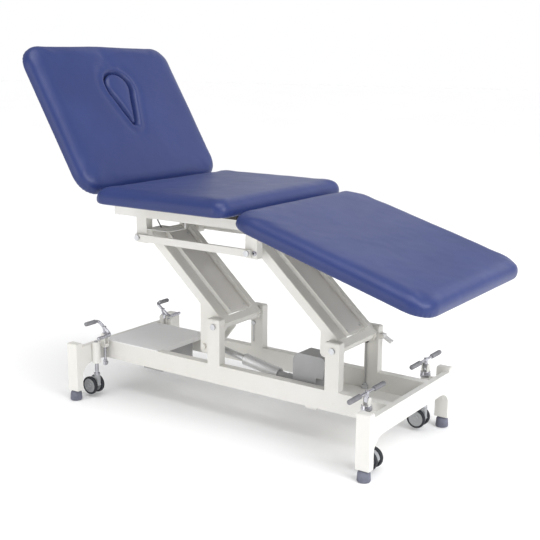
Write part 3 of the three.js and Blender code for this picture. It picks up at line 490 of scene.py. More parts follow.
TAGS = [f"{end}_{side}" for end in ENDS for side in SIDES]
dress("cream", ["near_side_rail", "far_side_rail", "near_seat_rail", "far_seat_rail",
                "head_cross_member", "foot_cross_member"], 0.0025, 3)
dress("cream", [f"post_{tag}" for tag in TAGS], 0.003, 3)
dress("cream", ["head_end_frame", "foot_end_frame", "near_tie_bar", "far_tie_bar"], 0.002)
dress("cream", ["head_lift_arm", "foot_lift_arm", "head_arm_cover", "foot_arm_cover",
                "backrest_frame", "leg_section_frame"], 0.0014)
dress("plate", ["shelf_cover"], 0.0009)
dress("motor", ["control_box"], 0.003, 3)
dress("plate", ["height_lever"], 0.001)
dress("steel", ["actuator_rod"], 0.001)
dress("steel", ["head_lower_pivot_shaft", "foot_lower_pivot_shaft",
                "head_upper_pivot_shaft", "foot_upper_pivot_shaft"], 0.0012)
dress("dark", ["backrest_gas_spring_cylinder", "leg_gas_spring_cylinder"], 0.0008)
dress("chrome", ["backrest_gas_spring_rod", "leg_gas_spring_rod"], 0.0005)
dress("wood", ["seat_board"], 0.001)
dress("chrome", [f"castor_stem_{tag}" for tag in TAGS], 0.0008)
dress("hood", [f"castor_hood_{tag}" for tag in TAGS], 0.0015)
dress("motor", ["actuator_motor"], 0.011, 4)


# ------ padded pieces

PAD_THICKNESS = 58.0
PAD_TOP_RADIUS = 31.0
PAD_BOTTOM_RADIUS = 12.0
SWELL = 3.0            # a pad starts this much smaller than its solid on each side, in mm
END_CORNER = 76.0      # plan corners of the backrest and the leg section
SEAT_CORNER = 48.0
HOLE_CENTRE = -389.0   # the breathing hole's large and small circles, in the backrest's frame
HOLE_TIP = -253.0
HOLE_RADIUS = 56.0
HOLE_TIP_RADIUS = 10.0


def rounded_rectangle(x0, x1, half_width, corner, steps=8):
    centres = [(x1 - corner, -half_width + corner, -90), (x1 - corner, half_width - corner, 0),
               (x0 + corner, half_width - corner, 90), (x0 + corner, -half_width + corner, 180)]
    outline = []
    for cx, cy, start in centres:
        for k in range(steps + 1):
            angle = math.radians(start + 90 * k / steps)
            outline.append((cx + corner * math.cos(angle), cy + corner * math.sin(angle)))
    return outline


def teardrop_outline(margin, steps=40):
    """The breathing hole: a large and a small circle with their common tangents."""
    big, small = HOLE_RADIUS + margin, HOLE_TIP_RADIUS + margin
    touch = math.acos((big - small) / (HOLE_TIP - HOLE_CENTRE))
    outline = []
    for k in range(steps // 4 + 1):
        angle = -touch + 2 * touch * k / (steps // 4)
        outline.append((HOLE_TIP + small * math.cos(angle), small * math.sin(angle)))
    for k in range(steps + 1):
        angle = touch + (2 * math.pi - 2 * touch) * k / steps
        outline.append((HOLE_CENTRE + big * math.cos(angle), big * math.sin(angle)))
    return outline


def pad_profile(thickness, top_radius, bottom_radius, steps=7):
    """(inset, height) pairs from the underside to the top, for a slab with rounded edges."""
    profile = []
    for k in range(steps + 1):
        angle = math.radians(90 * k / steps)
        profile.append((bottom_radius * (1 - math.sin(angle)), bottom_radius * (1 - math.cos(angle))))
    for k in range(steps + 1):
        angle = math.radians(90 * k / steps)
        profile.append((
            top_radius * (1 - math.cos(angle)), thickness - top_radius * (1 - math.sin(angle))))
    return profile


def slab(outline_at, profile, base):
    """A closed slab: outline_at(inset) gives the plan outline for each (inset, height)."""
    bm = bmesh.new()
    rings = [
        [bm.verts.new((x * MM, y * MM, (base + height) * MM)) for x, y in outline_at(inset)]
        for inset, height in profile]
    for low, high in zip(rings, rings[1:]):
        for i in range(len(low)):
            j = (i + 1) % len(low)
            bm.faces.new((low[i], low[j], high[j], high[i]))
    bm.faces.new(rings[0])
    bm.faces.new(rings[-1])
    return mesh_from(bm)


def applied(obj):
    """The object's mesh with its modifiers applied, the object itself removed."""
    depsgraph = bpy.context.evaluated_depsgraph_get()
    mesh = bpy.data.meshes.new_from_object(obj.evaluated_get(depsgraph))
    bpy.data.objects.remove(obj)
    return mesh


def temporary(mesh):
    obj = bpy.data.objects.new("temporary", mesh)
    bpy.context.scene.collection.objects.link(obj)
    return obj


def coordinates(mesh):
    flat = np.empty(len(mesh.vertices) * 3)
    mesh.vertices.foreach_get("co", flat)
    return flat.reshape(-1, 3)


def set_coordinates(mesh, points):
    mesh.vertices.foreach_set("co", points.ravel())
    mesh.update()


def inflated(mesh, base, voxel=0.0065, cap=0.0045, grip=0.006):
    """Voxel remesh, then a pressure cloth simulation with the underside held to its board."""
    obj = temporary(mesh)
    remesh = obj.modifiers.new("remesh", "REMESH")
    remesh.mode = "VOXEL"
    remesh.voxel_size = voxel
    start = applied(obj)
    before = coordinates(start)
    obj = temporary(start)
    held = obj.vertex_groups.new(name="held")
    held.add([int(i) for i in np.nonzero(before[:, 2] < base * MM + grip)[0]], 1.0, "REPLACE")
    cloth = obj.modifiers.new("cloth", "CLOTH")
    settings = cloth.settings
    settings.quality = 6
    settings.mass = 0.4
    settings.tension_stiffness = 18
    settings.compression_stiffness = 18
    settings.bending_stiffness = 2.5
    settings.use_pressure = True
    settings.uniform_pressure_force = 4.0
    settings.vertex_group_mass = "held"
    settings.effector_weights.gravity = 0
    cloth.collision_settings.use_collision = False
    scene = bpy.context.scene
    for step in range(1, 21):
        scene.frame_set(step)
    result = applied(obj)
    scene.frame_set(1)
    moved = coordinates(result) - before
    length = np.linalg.norm(moved, axis=1, keepdims=True)
    moved *= cap * np.tanh(length / cap) / np.maximum(length, 1e-9)
    set_coordinates(result, before + moved)
    return result


def relaxed(mesh, rounds=3, factor=0.5):
    bm = bmesh.new()
    bm.from_mesh(mesh)
    for _ in range(rounds):
        bmesh.ops.smooth_vert(
            bm, verts=bm.verts, factor=factor, use_axis_x=True, use_axis_y=True, use_axis_z=True)
    bm.to_mesh(mesh)
    bm.free()
    return mesh


def subdivided(mesh):
    obj = temporary(mesh)
    modifier = obj.modifiers.new("subdivision", "SUBSURF")
    modifier.levels = 1
    return applied(obj)


def slow_waves(points, size, amount, seed):
    """Small slow unevenness of stuffed foam, the same every run."""
    offset = Vector((seed * 3.7, seed * 1.3, seed * 2.1))
    return np.array([noise.noise(Vector(p) / size + offset) for p in points]) * amount


def soften(mesh, base, thickness, waves=0.0012, seed=1):
    """Uneven stuffing on the top and sides, none where the pad lies on its board."""
    points = coordinates(mesh)
    normals = np.empty(len(mesh.vertices) * 3)
    mesh.vertices.foreach_get("normal", normals)
    normals = normals.reshape(-1, 3)
    free = np.clip((points[:, 2] - base * MM) / (thickness * MM), 0, 1)
    height = slow_waves(points, 0.11, waves, seed) + slow_waves(points, 0.035, waves * 0.3, seed + 5)
    set_coordinates(mesh, points + normals * (height * free)[:, None])
    return mesh


def clamp_to(mesh, low, high):
    """Keeps the swollen pad inside the space of its CAD solid, in local metres."""
    points = coordinates(mesh)
    set_coordinates(mesh, np.clip(points, low, high))
    return mesh


def pad_slab(x0, x1, half_width, base, thickness, corner):
    """A pad's plain form, a little smaller than its CAD solid because pressure swells it."""
    profile = pad_profile(thickness - 5.0, PAD_TOP_RADIUS, PAD_BOTTOM_RADIUS)
    return slab(
        lambda inset: rounded_rectangle(
            x0 + SWELL + inset, x1 - SWELL - inset, half_width - SWELL - inset,
            max(corner - SWELL - inset * 0.55, 6.0)),
        profile, base + 1.5)


def fitted(mesh, low, high, base, proud=3.0):
    """Brings a pad back to its CAD solid's length and height; its soft sides stand a little proud."""
    points = coordinates(mesh)
    for axis, extra in ((0, -0.3), (1, proud)):
        least, most = points[:, axis].min(), points[:, axis].max()
        t = (points[:, axis] - least) / (most - least)
        points[:, axis] = (low[axis] - extra + t * (high[axis] - low[axis] + 2 * extra)) * MM
    floor = base * MM
    lift = (high[2] - base) * MM / (points[:, 2].max() - floor)
    points[:, 2] = floor + (points[:, 2] - floor) * lift
    set_coordinates(mesh, points)


def pleat_corners(mesh, low, high, base, corner):
    """Small gathers of the cover where it is pulled round the pad's corners to its underside."""
    points = coordinates(mesh)
    x, y, z = (points / MM).T
    centre_x = np.where(x > (low[0] + high[0]) / 2, high[0] - corner, low[0] + corner)
    centre_y = np.sign(y) * (high[1] - corner)
    dx, dy = x - centre_x, y - centre_y
    in_corner = (dx * np.sign(centre_x - (low[0] + high[0]) / 2) > 0) & (dy * np.sign(y) > 0)
    reach = np.hypot(dx, dy)
    angle = np.arctan2(np.abs(dy), np.abs(dx))
    fade = np.sin(2 * angle) ** 2
    height = (z - base) / PAD_THICKNESS
    low_side = np.clip(1 - height / 0.62, 0, 1) * np.clip(height / 0.08, 0, 1)
    edge = np.clip((reach - corner * 0.6) / (corner * 0.3), 0, 1)
    depth = 1.1 * np.cos(angle * 30) * fade * low_side * edge * in_corner
    reach = np.maximum(reach, 1e-6)
    points[:, 0] += depth * dx / reach * MM
    points[:, 1] += depth * dy / reach * MM
    set_coordinates(mesh, points)


def vinyl_pad(name, mesh, body, stands_for, place):
    obj = piece(name, mesh, "vinyl", body, place, smooth_angle=70, stands_for=stands_for)
    return obj


def cut_hole(mesh, margin, z0, z1):
    """The mesh with the teardrop cut through it, grown outwards by a margin."""
    obj = temporary(mesh)
    cutter = temporary(prism(teardrop_outline(margin), z0, z1))
    cut = obj.modifiers.new("hole", "BOOLEAN")
    cut.operation = "DIFFERENCE"
    cut.object = cutter
    cut.solver = "EXACT"
    result = applied(obj)
    bpy.data.objects.remove(cutter)
    return result


def local_box(node, place):
    """A CAD node's box in its own tilted frame, in mm."""
    points = coordinates(NODES[node].data)
    inverse = np.array(place.inverted())
    local = points @ inverse[:3, :3].T + inverse[:3, 3]
    return local.min(0) / MM, local.max(0) / MM


def make_pad(name, node, body, place, corner, seed, hole=False):
    low, high = local_box(node, place)
    base = low[2]
    mesh = pad_slab(low[0], high[0], high[1], base, high[2] - low[2], corner)
    if hole:
        mesh = cut_hole(mesh, 1.5, base - 20, high[2] + 20)
    mesh = inflated(mesh, base)
    mesh = relaxed(mesh, 7)
    if hole:
        raise_hole_rim(mesh, high[2])
    mesh = subdivided(mesh)
    mesh = soften(mesh, base, PAD_THICKNESS, seed=seed)
    pleat_corners(mesh, low, high, base, corner)
    fitted(mesh, low, high, base)
    mesh = clamp_to(
        mesh,
        np.array((low[0] - 2, low[1] - 5, base + 0.8)) * MM,
        np.array((high[0] + 2, high[1] + 5, high[2] + 4)) * MM)
    return vinyl_pad(name, mesh, body, (node,), place)


def distance_to_outline(points, outline):
    """Distance in mm from each (x, y) point in metres to a closed outline in mm."""
    best = np.full(len(points), 1e9)
    p = points[:, :2] / MM
    corners = np.array(outline)
    for a, b in zip(corners, np.roll(corners, -1, axis=0)):
        edge = b - a
        t = np.clip(((p - a) @ edge) / max(edge @ edge, 1e-9), 0, 1)
        best = np.minimum(best, np.linalg.norm(p - a - t[:, None] * edge, axis=1))
    return best


def raise_hole_rim(mesh, top):
    """The cover is drawn down round the hole: a rolled rim, then a slight dip outside it."""
    points = coordinates(mesh)
    away = distance_to_outline(points, teardrop_outline(0.0))
    upper = np.clip((points[:, 2] / MM - (top - 30)) / 22, 0, 1)
    rim = 4.2 * np.exp(-((away - 15) / 9.0) ** 2)
    dip = -1.8 * np.exp(-((away - 36) / 12.0) ** 2)
    roll = -7.0 * np.exp(-(np.maximum(away - 1.0, 0) / 5.0) ** 2)
    points[:, 2] += (rim + dip + roll) * upper * MM
    set_coordinates(mesh, points)


make_pad("backrest_pad", "backrest_cushion", "backrest", BACK, END_CORNER, 1, hole=True)
make_pad("seat_pad", "seat_cushion", "top_frame", Matrix.Identity(4), SEAT_CORNER, 2)
make_pad("leg_pad", "leg_section_cushion", "leg_section", LEGS, END_CORNER, 3)


def make_plug():
    low, high = local_box("breathing_hole_plug", BACK)
    base = low[2]
    thickness = high[2] - low[2] - 7.0
    profile = pad_profile(thickness, 9.0, 5.0)
    mesh = slab(lambda inset: teardrop_outline(-1.0 - min(inset, 7.0)), profile, base + 1)
    mesh = inflated(mesh, base, voxel=0.004, cap=0.005, grip=0.004)
    mesh = relaxed(mesh, 2)
    mesh = subdivided(mesh)
    points = coordinates(mesh)
    away = distance_to_outline(points, teardrop_outline(-2.5))
    upper = np.clip((points[:, 2] / MM - (high[2] - 22)) / 14, 0, 1)
    points[:, 2] += (1.5 - 3.0 * np.exp(-(away / 7.0) ** 2)) * upper * MM
    set_coordinates(mesh, points)
    vinyl_pad("hole_plug_pad", mesh, "breathing_hole_plug", ("breathing_hole_plug",), BACK)


make_plug()


def make_underlay(name, node, body, place, corner, hole=False):
    """The cloth that closes the underside of a pad, with a row of staples."""
    low, high = local_box(node, place)
    inset = 24.0
    outline = rounded_rectangle(low[0] + inset, high[0] - inset, high[1] - inset, corner - 14)
    mesh = prism(outline, low[2] + 0.1, low[2] + 4.0)
    if hole:
        mesh = cut_hole(mesh, 1.0, low[2] - 20, low[2] + 20)
    piece(name, mesh, "cloth", body, place, smooth_angle=30)
    spans = []
    line = rounded_rectangle(low[0] + inset + 7, high[0] - inset - 7, high[1] - inset - 7, corner - 18, 2)
    for (ax, ay), (bx, by) in zip(line, line[1:] + line[:1]):
        length = math.hypot(bx - ax, by - ay)
        count = max(int(length / 38), 1)
        for k in range(count):
            t = (k + 0.5) / count
            x, y = ax + (bx - ax) * t, ay + (by - ay) * t
            along_x = abs(bx - ax) > abs(by - ay)
            half_x, half_y = (5.0, 0.6) if along_x else (0.6, 5.0)
            spans.append((
                (x - half_x, x + half_x), (y - half_y, y + half_y), (low[2] - 0.5, low[2] + 0.6)))
    piece(f"{name}_staples", boxes(*spans), "steel", body, place)


make_underlay("backrest_underlay", "backrest_cushion", "backrest", BACK, 55.0, hole=True)
make_underlay("seat_underlay", "seat_cushion", "top_frame", Matrix.Identity(4), 45.0)
make_underlay("leg_underlay", "leg_section_cushion", "leg_section", LEGS, 55.0)


# ------ castors

def castor_wheel(outer, inner):
    """One wheel's tread about Z, from the inner face up to the outer face."""
    r = 32.5
    return turned([
        (25.5, inner), (30.0, inner), (r - 0.6, inner + 2.0), (r, inner + 4.5), (r, outer - 4.5),
        (r - 0.6, outer - 2.0), (30.0, outer - 0.4), (28.6, outer), (26.6, outer - 0.3),
        (25.5, outer - 1.6)], 64)


def castor_disc(outer, inner):
    """The wheel's grey disc: a dished face with a raised hub and a ring."""
    return turned([
        (0, inner + 0.5), (25.4, inner + 0.5), (25.4, outer - 1.8), (23.5, outer - 2.2), (21.0, outer - 1.2),
        (19.5, outer - 1.2), (17.5, outer - 2.8), (10.0, outer - 3.6), (8.6, outer - 1.4), (6.5, outer - 0.9),
        (5.2, outer - 2.0), (0, outer - 2.2)], 64)


for tag in TAGS:
    low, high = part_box(f"castor_wheels_{tag}")
    centre = (low + high) / 2
    body = f"castor_wheels_{tag}"
    half = (high.y - low.y) / 2 / MM
    treads, discs = [], []
    for flip in (1, -1):
        turn = Matrix.Rotation(math.radians(-90 * flip), 4, "X")
        for store, make in ((treads, castor_wheel), (discs, castor_disc)):
            mesh = make(half, 10.0)
            mesh.transform(Matrix.Translation(centre) @ turn)
            store.append(mesh)
    axle = turned([(0, -10.4), (5, -10.4), (5, 10.4), (0, 10.4)], 24)
    axle.transform(Matrix.Translation(centre) @ ALONG_Y)
    piece(f"castor_treads_{tag}", joined(*treads), "tread", body, stands_for=(f"castor_wheels_{tag}",))
    piece(f"castor_discs_{tag}", joined(*discs, axle), "hood", body)


# ------ rubber feet

for tag in TAGS:
    low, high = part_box(f"rubber_foot_{tag}")
    centre = (low + high) / 2
    top = high.z / MM
    mesh = turned([
        (0, 0), (17.5, 0), (19.8, 0.8), (21, 3), (20.8, 8), (20.6, 9.2), (20.0, 10), (20.6, 10.8), (20.5, 12),
        (19.6, 24), (18.6, 28.5), (16.0, 31.5), (12.5, 33), (11.0, 33), (11.0, top), (0, top)], 56)
    piece(f"rubber_foot_pad_{tag}", mesh, "foot", "base", at(centre.x, centre.y, 0),
          stands_for=(f"rubber_foot_{tag}",))


# ------ pedals

def grip(length, radius=8.0):
    """A ribbed rubber sleeve about Z with a rounded closed end at z = length."""
    profile = [(0, 0), (radius - 1.5, 0), (radius - 0.4, 1.0), (radius, 2.5)]
    z = 6.0
    while z < length - 12:
        profile += [(radius, z), (radius - 0.7, z + 0.8), (radius - 0.7, z + 2.0), (radius, z + 2.8)]
        z += 6.0
    profile += [(radius, length - 6), (radius - 0.8, length - 2.8), (radius - 3.0, length - 0.6), (0, length)]
    return turned(profile, 32)


for tag in TAGS:
    end, side = tag.split("_")
    pivot = joint_at(f"pedal_{tag}")
    body = f"brake_pedal_{tag}"
    way = SIDES[side]
    metal, rubber_parts = [], []
    if end == "head":
        lift, half, rise, reach = 27.0, 30.0, 21.5, 66.0
        corners = [
            Vector((-half, way * (reach - 4), lift + rise)), Vector((-half, 0, lift + rise)),
            Vector((half, 0, lift - rise)), Vector((half, way * (reach - 4), lift - rise))]
        path = smooth_path([c * MM for c in corners], 0.013, 7)
        metal.append(tube_along([pivot + p for p in path], [0.0056] * len(path)))
        turn = Matrix.Rotation(math.radians(-90 * way), 4, "X")
        for x, z, radius, store in (
                (-half, lift + rise, 7.8, rubber_parts), (half, lift - rise, 6.4, metal)):
            sleeve = grip(52.0, radius)
            start = pivot + Vector((x, way * (reach - 52.0), z)) * MM
            sleeve.transform(Matrix.Translation(start) @ turn)
            store.append(sleeve)
    else:
        lift, half = 22.0, 108.0
        bar = turned([(0, -half + 12), (4.6, -half + 12), (4.6, half - 12), (0, half - 12)], 24)
        bar.transform(Matrix.Translation(pivot + Vector((0, 0, lift)) * MM) @ ALONG_Y)
        metal.append(bar)
        for s in (-1, 1):
            sleeve = grip(66.0)
            turn = Matrix.Rotation(math.radians(-90 * s), 4, "X")
            start = pivot + Vector((0, s * (half - 66.0), lift)) * MM
            sleeve.transform(Matrix.Translation(start) @ turn)
            rubber_parts.append(sleeve)
    post = turned([(0, 6), (6.4, 6), (6.4, 12), (5.6, 14), (5.6, lift - 6), (7.2, lift - 5),
                   (7.2, lift + 5), (6.0, lift + 6.4), (0, lift + 6.4)], 32)
    post.transform(Matrix.Translation(pivot))
    block = boxes(((-6.5, 6.5), (-6.5, 6.5), (-7.0, 9.0)))
    block.transform(Matrix.Translation(pivot))
    metal += [post, block]
    piece(f"pedal_metal_{tag}", joined(*metal), "chrome", body, bevel=0.0008,
          stands_for=(f"brake_pedal_{tag}",))
    piece(f"pedal_grips_{tag}", joined(*rubber_parts), "grip", body, smooth_angle=50)


# The head pedals work their castors through a shaft and a small crank beside the rail.
for side, way in SIDES.items():
    tag = f"head_{side}"
    pivot = joint_at(f"pedal_{tag}")
    shaft = turned([(0, -100), (6.5, -100), (6.5, -97), (5.0, -96), (5.0, -45), (0, -45)], 28)
    shaft.transform(Matrix.Translation(pivot))
    crank = boxes(((-7, 7), (-way * 2 - 6, -way * 2 + 6), (-108, -98)), ((-5, 5), (-6, 6), (-112, -92)))
    crank.transform(Matrix.Translation(pivot))
    piece(f"pedal_shaft_{tag}", joined(shaft, crank), "chrome", "base", bevel=0.0006)


# ------ bolts

def bolt_head(radius, height):
    """A domed socket head about Z with a washer, its seat at z = 0."""
    washer = turned([(0, 0), (radius + 2, 0), (radius + 2, 1.4), (radius + 1.5, 1.8), (0, 1.8)], 40)
    head = turned([
        (0, 1.6), (radius, 1.6), (radius, height * 0.45), (radius * 0.9, height * 0.75),
        (radius * 0.62, height), (radius * 0.5, height), (radius * 0.46, height - 2.6),
        (0, height - 2.6)], 42)
    return joined(washer, head)


def bolt(name, centre, way, body, radius=7.4, height=5.8):
    """A bolt head on an axis along Y that faces the way given, +1 or -1, with a dark disc in its socket as
    painted shade.
    """
    turn = Matrix.Rotation(math.radians(-90 * way), 4, "X")
    place = Matrix.Translation(centre) @ turn
    piece(name, bolt_head(radius, height), "chrome", body, place)
    # A dark disc down in the socket paints the shade of the hex hole.
    socket = turned([(0, height - 2.9), (radius * 0.44, height - 2.9), (radius * 0.44, height - 2.2),
                     (radius * 0.3, height - 2.0), (0, height - 2.4)], 6)
    piece(f"{name}_socket", socket, "dark", body, place)


for end, joint in (("head", "lift"), ("foot", "foot_arm_pivot")):
    pivot = joint_at(joint)
    for side, way in SIDES.items():
        face = (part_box(f"{side}_side_rail")[0 if way < 0 else 1]).y
        bolt(f"lower_pivot_bolt_{end}_{side}", Vector((pivot.x, face, pivot.z)), way, "base")

top_pivots = {"head": joint_at("top_frame_pivot")}
top_pivots["foot"] = top_pivots["head"] + (joint_at("foot_arm_pivot") - joint_at("lift"))
for end, pivot in top_pivots.items():
    for side, way in SIDES.items():
        face = (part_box(f"{side}_tie_bar")[0 if way < 0 else 1]).y
        bolt(f"upper_pivot_bolt_{end}_{side}", Vector((pivot.x, face, pivot.z)), way, "top_frame")

crank_pin = HEAD_ARM @ (Matrix.Rotation(math.radians(-ARM_TILT), 4, "Y") @ Vector((-0.070, 0, -0.086)))
bolt("crank_bolt", Vector((crank_pin.x, -0.103, crank_pin.z)), -1, "head_arm", 7.0, 5.5)


# ------ arm panels

def arm_panel(name, node, place, body):
    low, high = local_box(node, place)
    outline = rounded_rectangle(low[0] + 6, high[0] - 6, high[1] - 6.5, 4.0, 3)
    mesh = prism(outline, low[2] + 2.9, low[2] + 4.2)
    piece(name, mesh, "panel", body, place, smooth_angle=30)
    screws = []
    for x in (low[0] + 18, high[0] - 18):
        for y in (-40, 40):
            screw = turned([(0, 0), (4.2, 0), (4.0, 0.8), (2.6, 1.6), (1.6, 1.6), (1.4, 0.8), (0, 0.8)], 20)
            screw.transform(Matrix.Translation(Vector((x, y, low[2] + 4.1)) * MM))
            screws.append(screw)
    piece(f"{name}_screws", joined(*screws), "steel", body, place)


arm_panel("head_arm_panel", "head_arm_cover", HEAD_ARM, "head_arm")
arm_panel("foot_arm_panel", "foot_arm_cover", FOOT_ARM, "foot_arm")


# ------ actuator details

ROD_CLEARANCE = 11.6


def actuator_tube():
    low, high = local_box("actuator_tube", ACTUATOR)
    start, end = low[0], high[0]
    thick_end = end - 54
    mesh = turned([
        (14.0, start), (19.0, start), (20.4, start + 0.8), (20.4, start + 12), (19.6, start + 13),
        (19.6, thick_end - 8), (20.2, thick_end - 7), (20.2, thick_end), (14.0, thick_end)], 48)
    mesh.transform(ALONG_X)
    neck = turned([
        (ROD_CLEARANCE, thick_end - 1), (15.0, thick_end - 1), (15.0, thick_end + 6), (13.0, thick_end + 8),
        (13.0, end - 20), (16.5, end - 18), (16.5, end - 1), (ROD_CLEARANCE, end - 1)], 40)
    neck.transform(ALONG_X)
    piece("actuator_neck", neck, "motor", "actuator_body", ACTUATOR)
    piece("actuator_outer_tube", mesh, "tube", "actuator_body", ACTUATOR, stands_for=("actuator_tube",))
    wiper = turned([(11.2, start - 3), (15.5, start - 3), (17.5, start - 1.5), (17.5, start + 2),
                    (11.2, start + 2)], 40)
    wiper.transform(ALONG_X)
    piece("actuator_wiper_ring", wiper, "dark", "actuator_body", ACTUATOR)


actuator_tube()


# ------ caps and screws

def tube_cap(name, x, y, z, size_y, size_z, body, thickness=3.0):
    """A plastic cap on the open end of a rectangular tube, facing the head end."""
    half_y, half_z = size_y / 2 - 0.6, size_z / 2 - 0.6
    mesh = boxes(((0, thickness), (-half_y, half_y), (-half_z, half_z)))
    piece(name, mesh, "plate", body, at(x, y, z) @ Matrix.Rotation(math.pi, 4, "Z"), bevel=0.0018)


SEAT_RAIL_Y, SEAT_RAIL_Z = 0.142, 0.693
POST_Y = 125.0
LEG_TOP = 0.207

for side, way in SIDES.items():
    rail_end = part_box(f"{side}_seat_rail")[0].x
    tube_cap(f"seat_rail_cap_{side}", rail_end, way * SEAT_RAIL_Y, SEAT_RAIL_Z, 30, 50, "top_frame")

for tag in TAGS:
    end, side = tag.split("_")
    pivot = joint_at("lift" if end == "head" else "foot_arm_pivot")
    y = SIDES[side] * POST_Y
    mesh = boxes(((-24.2, 24.2), (y - 14.2, y + 14.2), (0, 3.0)))
    place = at(pivot.x, 0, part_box(f"post_{tag}")[1].z)
    piece(f"post_cap_{tag}", mesh, "cream", "base", place, bevel=0.002)

for tag in TAGS:
    low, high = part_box(f"rubber_foot_{tag}")
    centre = (low + high) / 2
    mesh = boxes(((-22.2, 22.2), (-12.7, 12.7), (0, 2.4)))
    piece(f"leg_cap_{tag}", mesh, "cream", "base", at(centre.x, centre.y, LEG_TOP), bevel=0.0018)


def screw_row(name, points, body, material="steel", radius=4.6):
    meshes = []
    for x, y, z in points:
        mesh = turned([(0, 0), (radius, 0), (radius * 0.94, 1.0), (radius * 0.6, 1.9), (radius * 0.42, 1.9),
                       (radius * 0.36, 0.9), (0, 0.9)], 24)
        mesh.transform(at(x, y, z))
        meshes.append(mesh)
    piece(name, joined(*meshes), material, body)


shelf_low, shelf_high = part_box("shelf_cover")
screw_row("shelf_screws", [
    (shelf_low.x + 0.03, y, shelf_high.z) for y in (-0.125, 0.125)] + [
    (shelf_high.x - 0.03, y, shelf_high.z) for y in (-0.125, 0.125)], "base", "plate")


# ------ small fittings

MIDDLE_X = 41.2  # the row's frame has its origin this far (mm) towards the foot from the base's middle


def off_base(*spans):
    """Boxes given in mm from the middle of the base."""
    return boxes(*[((x0 - MIDDLE_X, x1 - MIDDLE_X), y, z) for (x0, x1), y, z in spans])


def recess_strips(name, place, body):
    """Light grey strips that lie on the two beams of an arm, beside its cover."""
    strips = boxes(*[
        ((-384.0, -16.0), across, (22.0, 23.2)) for across in ((-103.0, -63.5), (63.5, 103.0))])
    piece(name, strips, "recess", body, place, bevel=0.0004)


recess_strips("head_arm_channels", HEAD_ARM, "head_arm")
recess_strips("foot_arm_channels", FOOT_ARM, "foot_arm")

tray = off_base(
    ((-345, -237), (-157, -67), (629, 631)), ((-243, -237), (-70, -67), (631, 668)),
    ((-246, -234), (-127, -67), (668, 671)))
piece("handset_tray", tray, "plate", "top_frame", bevel=0.0007)
rod_ends = [Vector((-340 - MIDDLE_X, -105, 668)) * MM, Vector((-315 - MIDDLE_X, -105, 631)) * MM]
rod_path = [rod_ends[0].lerp(rod_ends[1], t / 6) for t in range(7)]
piece("handset_tray_stay", tube_along(rod_path, [0.0021] + [0.002] * 5 + [0.0026], 14), "dark", "top_frame")

stop_nut = turned([(0, 0), (8.5, 0), (9.2, 0.6), (9.2, 4.6), (8.2, 5.5), (3.2, 5.5), (2.6, 5.0), (0, 5.0)], 6)
nut_place = at((-77 - MIDDLE_X) * MM, 0.110, 0.285) @ Matrix.Rotation(math.radians(90), 4, "X")
piece("post_stop_nut", stop_nut, "steel", "base", nut_place, bevel=0.0003)
nut_rod = [Vector((-76 - MIDDLE_X, 107.2, 285 - 11.3 * k)) * MM for k in range(7)]
piece("post_stop_rod", tube_along(nut_rod, [0.0015] * 6 + [0.0018], 14), "steel", "base")

strip = off_base(((372, 388), (109.2, 110.6), (140, 290)))
piece("post_cable_strip", strip, "recess", "base", bevel=0.0004)
bolt("tie_bar_bracket_bolt", Vector(((115 - MIDDLE_X) * MM, -0.157, 0.600)), -1, "top_frame", 6.5, 5.0)

for side in SIDES:
    swivel = joint_at(f"castor_swivel_foot_{side}")
    collar = turned([(15.2, 186), (17.0, 186), (17.4, 187), (17.4, 196), (16.6, 197.2), (16.6, 204),
                     (16.0, 205), (15.2, 205)], 44)
    piece(f"castor_collar_foot_{side}", collar, "chrome", "base", at(swivel.x, swivel.y, 0))


# ------ cable on the post

def post_cable():
    x = joint_at("foot_arm_pivot").x - 0.016
    y = 0.1068
    points = [(x, y, 0.302), (x - 0.001, y, 0.262), (x + 0.001, y, 0.222), (x, y, 0.182), (x, y, 0.140)]
    curve = bpy.data.curves.new("post_cable_line", "CURVE")
    curve.dimensions = "3D"
    curve.bevel_depth = 0.0028
    curve.bevel_resolution = 4
    curve.use_fill_caps = True
    spline = curve.splines.new("POLY")
    fine = []
    for i in range(len(points) - 1):
        a = Vector(points[max(i - 1, 0)])
        b = Vector(points[i])
        c = Vector(points[i + 1])
        d = Vector(points[min(i + 2, len(points) - 1)])
        for k in range(5):
            t = k / 5
            fine.append(0.5 * (2 * b + (c - a) * t + (2 * a - 5 * b + 4 * c - d) * t * t
                               + (3 * b - a - 3 * c + d) * t ** 3))
    fine.append(Vector(points[-1]))
    spline.points.add(len(fine) - 1)
    for point, co in zip(spline.points, fine):
        point.co = (*co, 1)
    curve.materials.append(MAT["cable"])
    obj = bpy.data.objects.new("post_cable_lead", curve)
    bpy.context.scene.collection.objects.link(obj)
    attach(obj, "base")
    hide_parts("post_cable")
    clip = boxes(((-8, 8), (-3.6, 3.0), (-6, 5)), ((-5, 5), (-3.0, 3.0), (-9, -6)))
    piece("post_cable_clip", clip, "dark", "base", at(x, y, 0.302), bevel=0.0008)
    plug = boxes(((-10, 10), (-9, 2.6), (-4.6, 8)), ((-6, 6), (-5, 2.4), (8, 14)))
    piece("post_cable_socket", plug, "steel", "base", at(x, y, 0.140), bevel=0.001)


post_cable()


# ------ floor and light

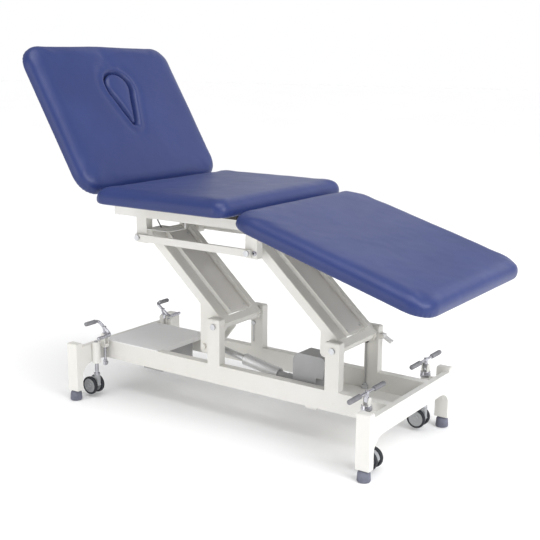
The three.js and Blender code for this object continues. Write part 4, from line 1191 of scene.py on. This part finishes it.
def studio_world():
    """A room that is white along the horizon and greyer overhead."""
    world = bpy.data.worlds.new("studio")
    world.use_nodes = True
    tree = world.node_tree
    background = tree.nodes["Background"]
    coords = tree.nodes.new("ShaderNodeTexCoord")
    parts = tree.nodes.new("ShaderNodeSeparateXYZ")
    ramp = tree.nodes.new("ShaderNodeValToRGB")
    tree.links.new(coords.outputs["Generated"], parts.inputs["Vector"])
    tree.links.new(parts.outputs["Z"], ramp.inputs["Fac"])
    stops = [(0.0, 1.0), (0.08, 1.0), (0.17, 0.42), (0.6, 0.36), (1.0, 0.5)]
    elements = ramp.color_ramp.elements
    while len(elements) < len(stops):
        elements.new(0.5)
    for element, (position, grey) in zip(elements, stops):
        element.position = position
        element.color = (grey, grey, grey * 1.01, 1)
    tree.links.new(ramp.outputs["Color"], background.inputs["Color"])
    background.inputs["Strength"].default_value = 1.0
    return world


def studio():
    mesh = mesh_of([(-40, -40, 0), (40, -40, 0), (40, 40, 0), (-40, 40, 0)], [(0, 1, 2, 3)], "floor")
    floor = bpy.data.objects.new("floor", mesh)
    floor.location.z = -0.0008
    n = Nodes("pale_floor")
    colour = n.ramp(n.noise(0.6, 2.0), [(0.3, (0.90, 0.90, 0.90)), (0.7, (0.93, 0.93, 0.93))])
    mesh.materials.append(n.finish(colour, 0.9, Emission_Color=(1, 1, 1, 1), Emission_Strength=0.1))
    bpy.context.scene.collection.objects.link(floor)
    bpy.context.scene.world = studio_world()
    lights = [
        ("key", (-1.6, -4.2, 1.7), 2.6, 41.0, (1.0, 0.99, 0.965)),
        ("right", (3.6, -0.6, 2.6), 2.2, 94.0, (0.96, 0.97, 1.0)),
        ("behind_head", (-1.3, 3.2, 2.6), 2.0, 7.0, (1.0, 1.0, 1.0)),
        ("behind_foot", (1.3, 3.2, 2.5), 2.2, 13.0, (1.0, 1.0, 1.0)),
    ]
    data = bpy.data.lights.new("overhead", "SUN")
    data.energy = 1.9
    data.angle = math.radians(50)
    overhead = bpy.data.objects.new("overhead", data)
    overhead.rotation_euler = Vector((-0.25, 0.15, -1)).to_track_quat("-Z", "Y").to_euler()
    bpy.context.scene.collection.objects.link(overhead)
    for name, position, size, power, colour in lights:
        data = bpy.data.lights.new(name, "AREA")
        data.energy = power
        data.size = size
        data.color = colour
        light = bpy.data.objects.new(name, data)
        light.location = position
        direction = Vector((0, 0, 0.6)) - Vector(position)
        light.rotation_euler = direction.to_track_quat("-Z", "Y").to_euler()
        bpy.context.scene.collection.objects.link(light)
    settings = bpy.context.scene.view_settings
    settings.view_transform = "Standard"
    settings.look = "None"
    settings.exposure = 0.0


studio()
